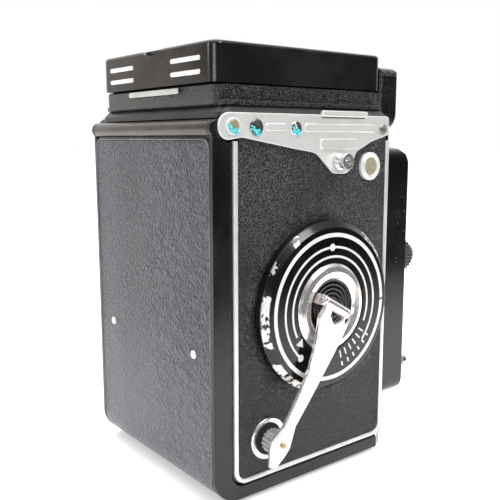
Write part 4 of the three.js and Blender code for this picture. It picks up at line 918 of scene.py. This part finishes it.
# ---- Lenses and front controls ----
VIEW = [(-55, 13.2), (-55, 15), (-58.5, 15), (-58.5, 19.6, 0.2), (-62.4, 19.6, 0.5), (-63, 18.2, 0.1),
        (-68.2, 18.2, 0.3), (-69, 17.6, 0.2), (-69, 16, 0.2), (-64.5, 13.2)]
TAKE = [(-55, 12.6), (-55, 15), (-58.5, 15), (-58.5, 20.5, 0.2), (-65.4, 20.5, 0.5), (-66.2, 18.2, 0.1),
        (-71.2, 18.2, 0.3), (-72, 17.6, 0.2), (-72, 16, 0.2), (-67.5, 12.6)]
quarter = [math.pi / 24 * k for k in reversed(range(13))]  # from the rim to the middle
for name, z, profile, mount, lens in (("viewing", LENS_Z[0], VIEW, "viewing_lens_barrel", "viewing_lens"),
                                      ("taking", LENS_Z[1], TAKE, "shutter_housing", "taking_lens")):
    piece(f"{name}_mount", new_lathe(profile, "y", (0, 0, z), 128), MILLED, "standard", replaces=[mount])
    back, rim, r = (-58, -62.8, 12.9) if name == "viewing" else (-60, -66, 12.3)
    dome = [(rim - 1.6 * math.cos(t), r * math.sin(t)) for t in quarter]
    bm = new_lathe([(back, 0), (back, r), *dome[:-1], (rim - 1.6, 0)], "y", (0, 0, z), 128)
    piece(f"{name}_glass", bm, GLASS, "standard", replaces=[lens])
    # an opaque disc just behind each front glass: painted shade of the lens's depth
    cone = [(back + 0.3, 0), (back + 0.3, r - 0.2), (back + 0.9, r - 0.2), (back + 0.9, 0)]
    piece(f"{name}_glass_shade_disc", new_lathe(cone, "y", (0, 0, z), 96), LENS_DEPTH_SHADE, "standard")
for x, node_name in ((24, "aperture_wheel"), (-24, "shutter_speed_wheel")):
    bm = new_slab(fluted(6.7, 0.5, 28, 8), "front", -64.9, -60.4, bevel=0.25)
    lathe(bm, [(-58.9, 0), (-58.9, 4), (-60.5, 4), (-60.5, 0)], "y", segments=64)
    lathe(bm, [(-64.8, 0), (-64.8, 5.4), (-66.4, 5.2, 0.4), (-68.5, 4.2, 1.2), (-68.5, 0)], "y",
          segments=64)
    piece(f"{node_name}_milled", moved(bm, Matrix.Translation((x, 0, 71))), BLACKENED, body_of(node_name),
          replaces=[node_name])
bm = new_lathe([(-59.8, 0), (-59.8, 3.1), (-67.4, 3.1, 0.3), (-68, 2.4, 0.2), (-67.6, 1.2, 0.5),
                (-67.2, 0)], "y", RELEASE, 64)
piece("release_button_turned", bm, CHROME, "release", replaces=["release_button"])
bm = new_lathe([(-58.5, 3.4), (-58.5, 5.2), (-62.6, 5.2, 0.3), (-63.4, 4.6, 0.2), (-63.4, 3.4)], "y",
               RELEASE, 96)
carved(bm, block((-25.1, -23.9), (-64, -62.6), (28, 31)))
piece("release_collar_turned", bm, MILLED, "release_collar", replaces=["release_lock_collar"])
bm = new_slab(rounded([(23.7, 19.5, 1.2), (26.3, 19.5, 1.2), (27, 30.5), (23, 30.5)]), "front", -60.8,
              -59.4, bevel=0.25)
lathe(bm, [(-58.6, 0), (-58.6, 3), (-61.4, 3, 0.4), (-61.4, 0)], "y", (25, 0, 30.5), 64)
piece("timer_lever_fine", bm, MILLED, "timer", replaces=["self_timer_lever"])

# ---- Latch dial and tripod bush ----
bm = new_lathe([(0.65, 6.6), (0.65, 12.5), (-0.3, 12.5, 0.3), (-0.9, 11.8, 0.3), (-0.9, 7.2, 0.2),
                (-0.3, 6.6)], "z", segments=128)
piece("latch_ring", bm, MILLED, "latch", replaces=["latch_dial"])
for side, x in (("left", -9.3), ("right", 9.3)):
    bm = new_slab(box2(x - 2.1, x + 2.1, -1.2, 1.2, 0.8), "top", -1.15, -0.5, bevel=0.25)
    piece(f"latch_bow_{side}", bm, MILLED, "latch")
bm = new_lathe([(2.5, 3.4, 0.2), (2.5, 7.9, 0.2), (9.4, 7.9), (9.4, 0), (8.4, 0), (8.4, 3.4)], "z")
for k in range(5):
    z = 3.1 + 1.15 * k
    lathe(bm, [(z, 3.45), (z + 0.45, 3.2), (z + 0.9, 3.45)], "z", segments=96)
piece("tripod_bush_threaded", bm, STEEL, replaces=["tripod_bush"])

# ---- Studio ----
world = bpy.data.worlds.new("studio")
bpy.context.scene.world = world
world.use_nodes = True
sky = world.node_tree
sky.nodes.clear()


def sky_node(kind):
    return sky.nodes.new("ShaderNode" + kind)


direction = sky_node("TexCoord").outputs["Generated"]


def glow(towards, start, end, colour, strength):
    """Light from round one direction, between two cosines of the angle to it."""
    facing = sky_node("VectorMath")
    facing.operation = "DOT_PRODUCT"
    sky.links.new(direction, facing.inputs[0])
    facing.inputs[1].default_value = Vector(towards).normalized()
    reach = sky_node("MapRange")
    reach.interpolation_type = "SMOOTHSTEP"
    sky.links.new(facing.outputs["Value"], reach.inputs["Value"])
    reach.inputs["From Min"].default_value, reach.inputs["From Max"].default_value = start, end
    reach.inputs["To Max"].default_value = strength
    light = sky_node("Background")
    light.inputs["Color"].default_value = (*colour, 1)
    sky.links.new(reach.outputs[0], light.inputs["Strength"])
    return light.outputs[0]


glows = [
    glow((0.777, -0.609, -0.1), 0.25, 0.6, (1.0, 1.0, 1.0), 1.15),  # white backdrop
    glow((0.75, 0.66, 0.15), 0.55, 0.9, (1.0, 0.86, 0.76), 0.22),  # warm dim wall on the door's side
    glow((0.95, 0.30, 0.08), 0.955, 0.995, (1.0, 0.9, 0.82), 0.35),  # a lit patch on that wall
    glow((0, 0, 1), 0.35, 0.9, (1.0, 0.98, 0.96), 0.9),  # ceiling
    glow((-0.61, 0.78, 0.06), 0.965, 0.985, (0.80, 0.90, 1.0), 6.0),  # small window behind the viewer
    glow((-0.5, 0.1, -0.4), -1.0, -0.9, (1.0, 0.97, 0.94), 0.09),  # the dim rest of the room
]
total = glows[0]
for extra in glows[1:]:
    both = sky_node("AddShader")
    sky.links.new(total, both.inputs[0])
    sky.links.new(extra, both.inputs[1])
    total = both.outputs[0]
plain = sky_node("Background")  # seen directly, the studio is plain white
seen = sky_node("MixShader")
sky.links.new(sky_node("LightPath").outputs["Is Camera Ray"], seen.inputs[0])
sky.links.new(total, seen.inputs[1])
sky.links.new(plain.outputs[0], seen.inputs[2])
plain.inputs["Color"].default_value = (1, 1, 1, 1)
sky.links.new(seen.outputs[0], sky_node("OutputWorld").inputs["Surface"])

FLOOR_Z = -0.0002  # clear of the feet
bm = bmesh.new()
bmesh.ops.create_grid(bm, x_segments=8, y_segments=8, size=6)
floor_mesh = bpy.data.meshes.new("floor")
bm.to_mesh(floor_mesh)
bm.free()
floor = bpy.data.objects.new("floor", floor_mesh)
link(floor)
floor.location.z = FLOOR_Z
ground = Graph("floor_paper", rough=0.8, Specular_IOR_Level=0.1)
paper = ground.mix(ground.noise(4, 2), (0.90, 0.895, 0.885), (0.93, 0.925, 0.92))
beyond = ground.span(ground.axis(0), -0.15, -0.30)  # dark table past the paper's edge, on the crank's side
reflected = ground.minus(1.0, ground.node("LightPath"))  # seen directly, the paper has no edge
beyond = ground.times(beyond, reflected)
ground.set("Base Color", ground.mix(beyond, paper, (0.02, 0.02, 0.02)))
ground.set("Emission Color", (1.0, 0.995, 0.985))
ground.set("Emission Strength", ground.times(ground.minus(1.0, beyond), 0.35))
floor_mesh.materials.append(ground.material)
floor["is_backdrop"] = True

MIDDLE = Vector((0, 0, 0.07))  # what the lights point at


def softbox(name, where, size, power, colour=(1, 1, 1)):
    light = bpy.data.lights.new(name, "AREA")
    light.shape, light.size, light.size_y = "RECTANGLE", size[0], size[1]
    light.energy, light.color = power, colour
    obj = bpy.data.objects.new(name, light)
    obj.location = where
    obj.rotation_euler = (MIDDLE - Vector(where)).to_track_quat("-Z", "Y").to_euler()
    link(obj)


softbox("top_light", (0.1, 0.1, 1.1), (1.2, 1.2), 9)
softbox("door_light", (0.35, 0.85, 0.42), (0.35, 0.35), 2.2, (1.0, 0.99, 0.98))
softbox("crank_light", (-0.72, -0.2, 0.78), (0.4, 0.4), 5.5, (1.0, 0.99, 0.98))

# ---- The viewpoint ----
eye = bpy.data.cameras.new("eye")
eye.lens, eye.sensor_width = 50.53, 36.0
eye.clip_start = 0.01
viewpoint = bpy.data.objects.new("eye", eye)
link(viewpoint)
forward = Vector((0.777, -0.609, -0.157)).normalized()
right = Vector((-0.617, -0.787, -0.0007))
right = (right - forward * right.dot(forward)).normalized()
upward = right.cross(forward)
turn = Matrix((right, upward, -forward)).transposed().to_4x4()
viewpoint.matrix_world = Matrix.Translation(TO_ROW @ Vector((-211.548, 160.976, 118.194))) @ turn
bpy.context.scene.camera = viewpoint
bpy.context.scene.view_settings.view_transform = "Standard"

size = {"cad": [list(v) for v in cad_box], "visual": [list(v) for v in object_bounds()]}
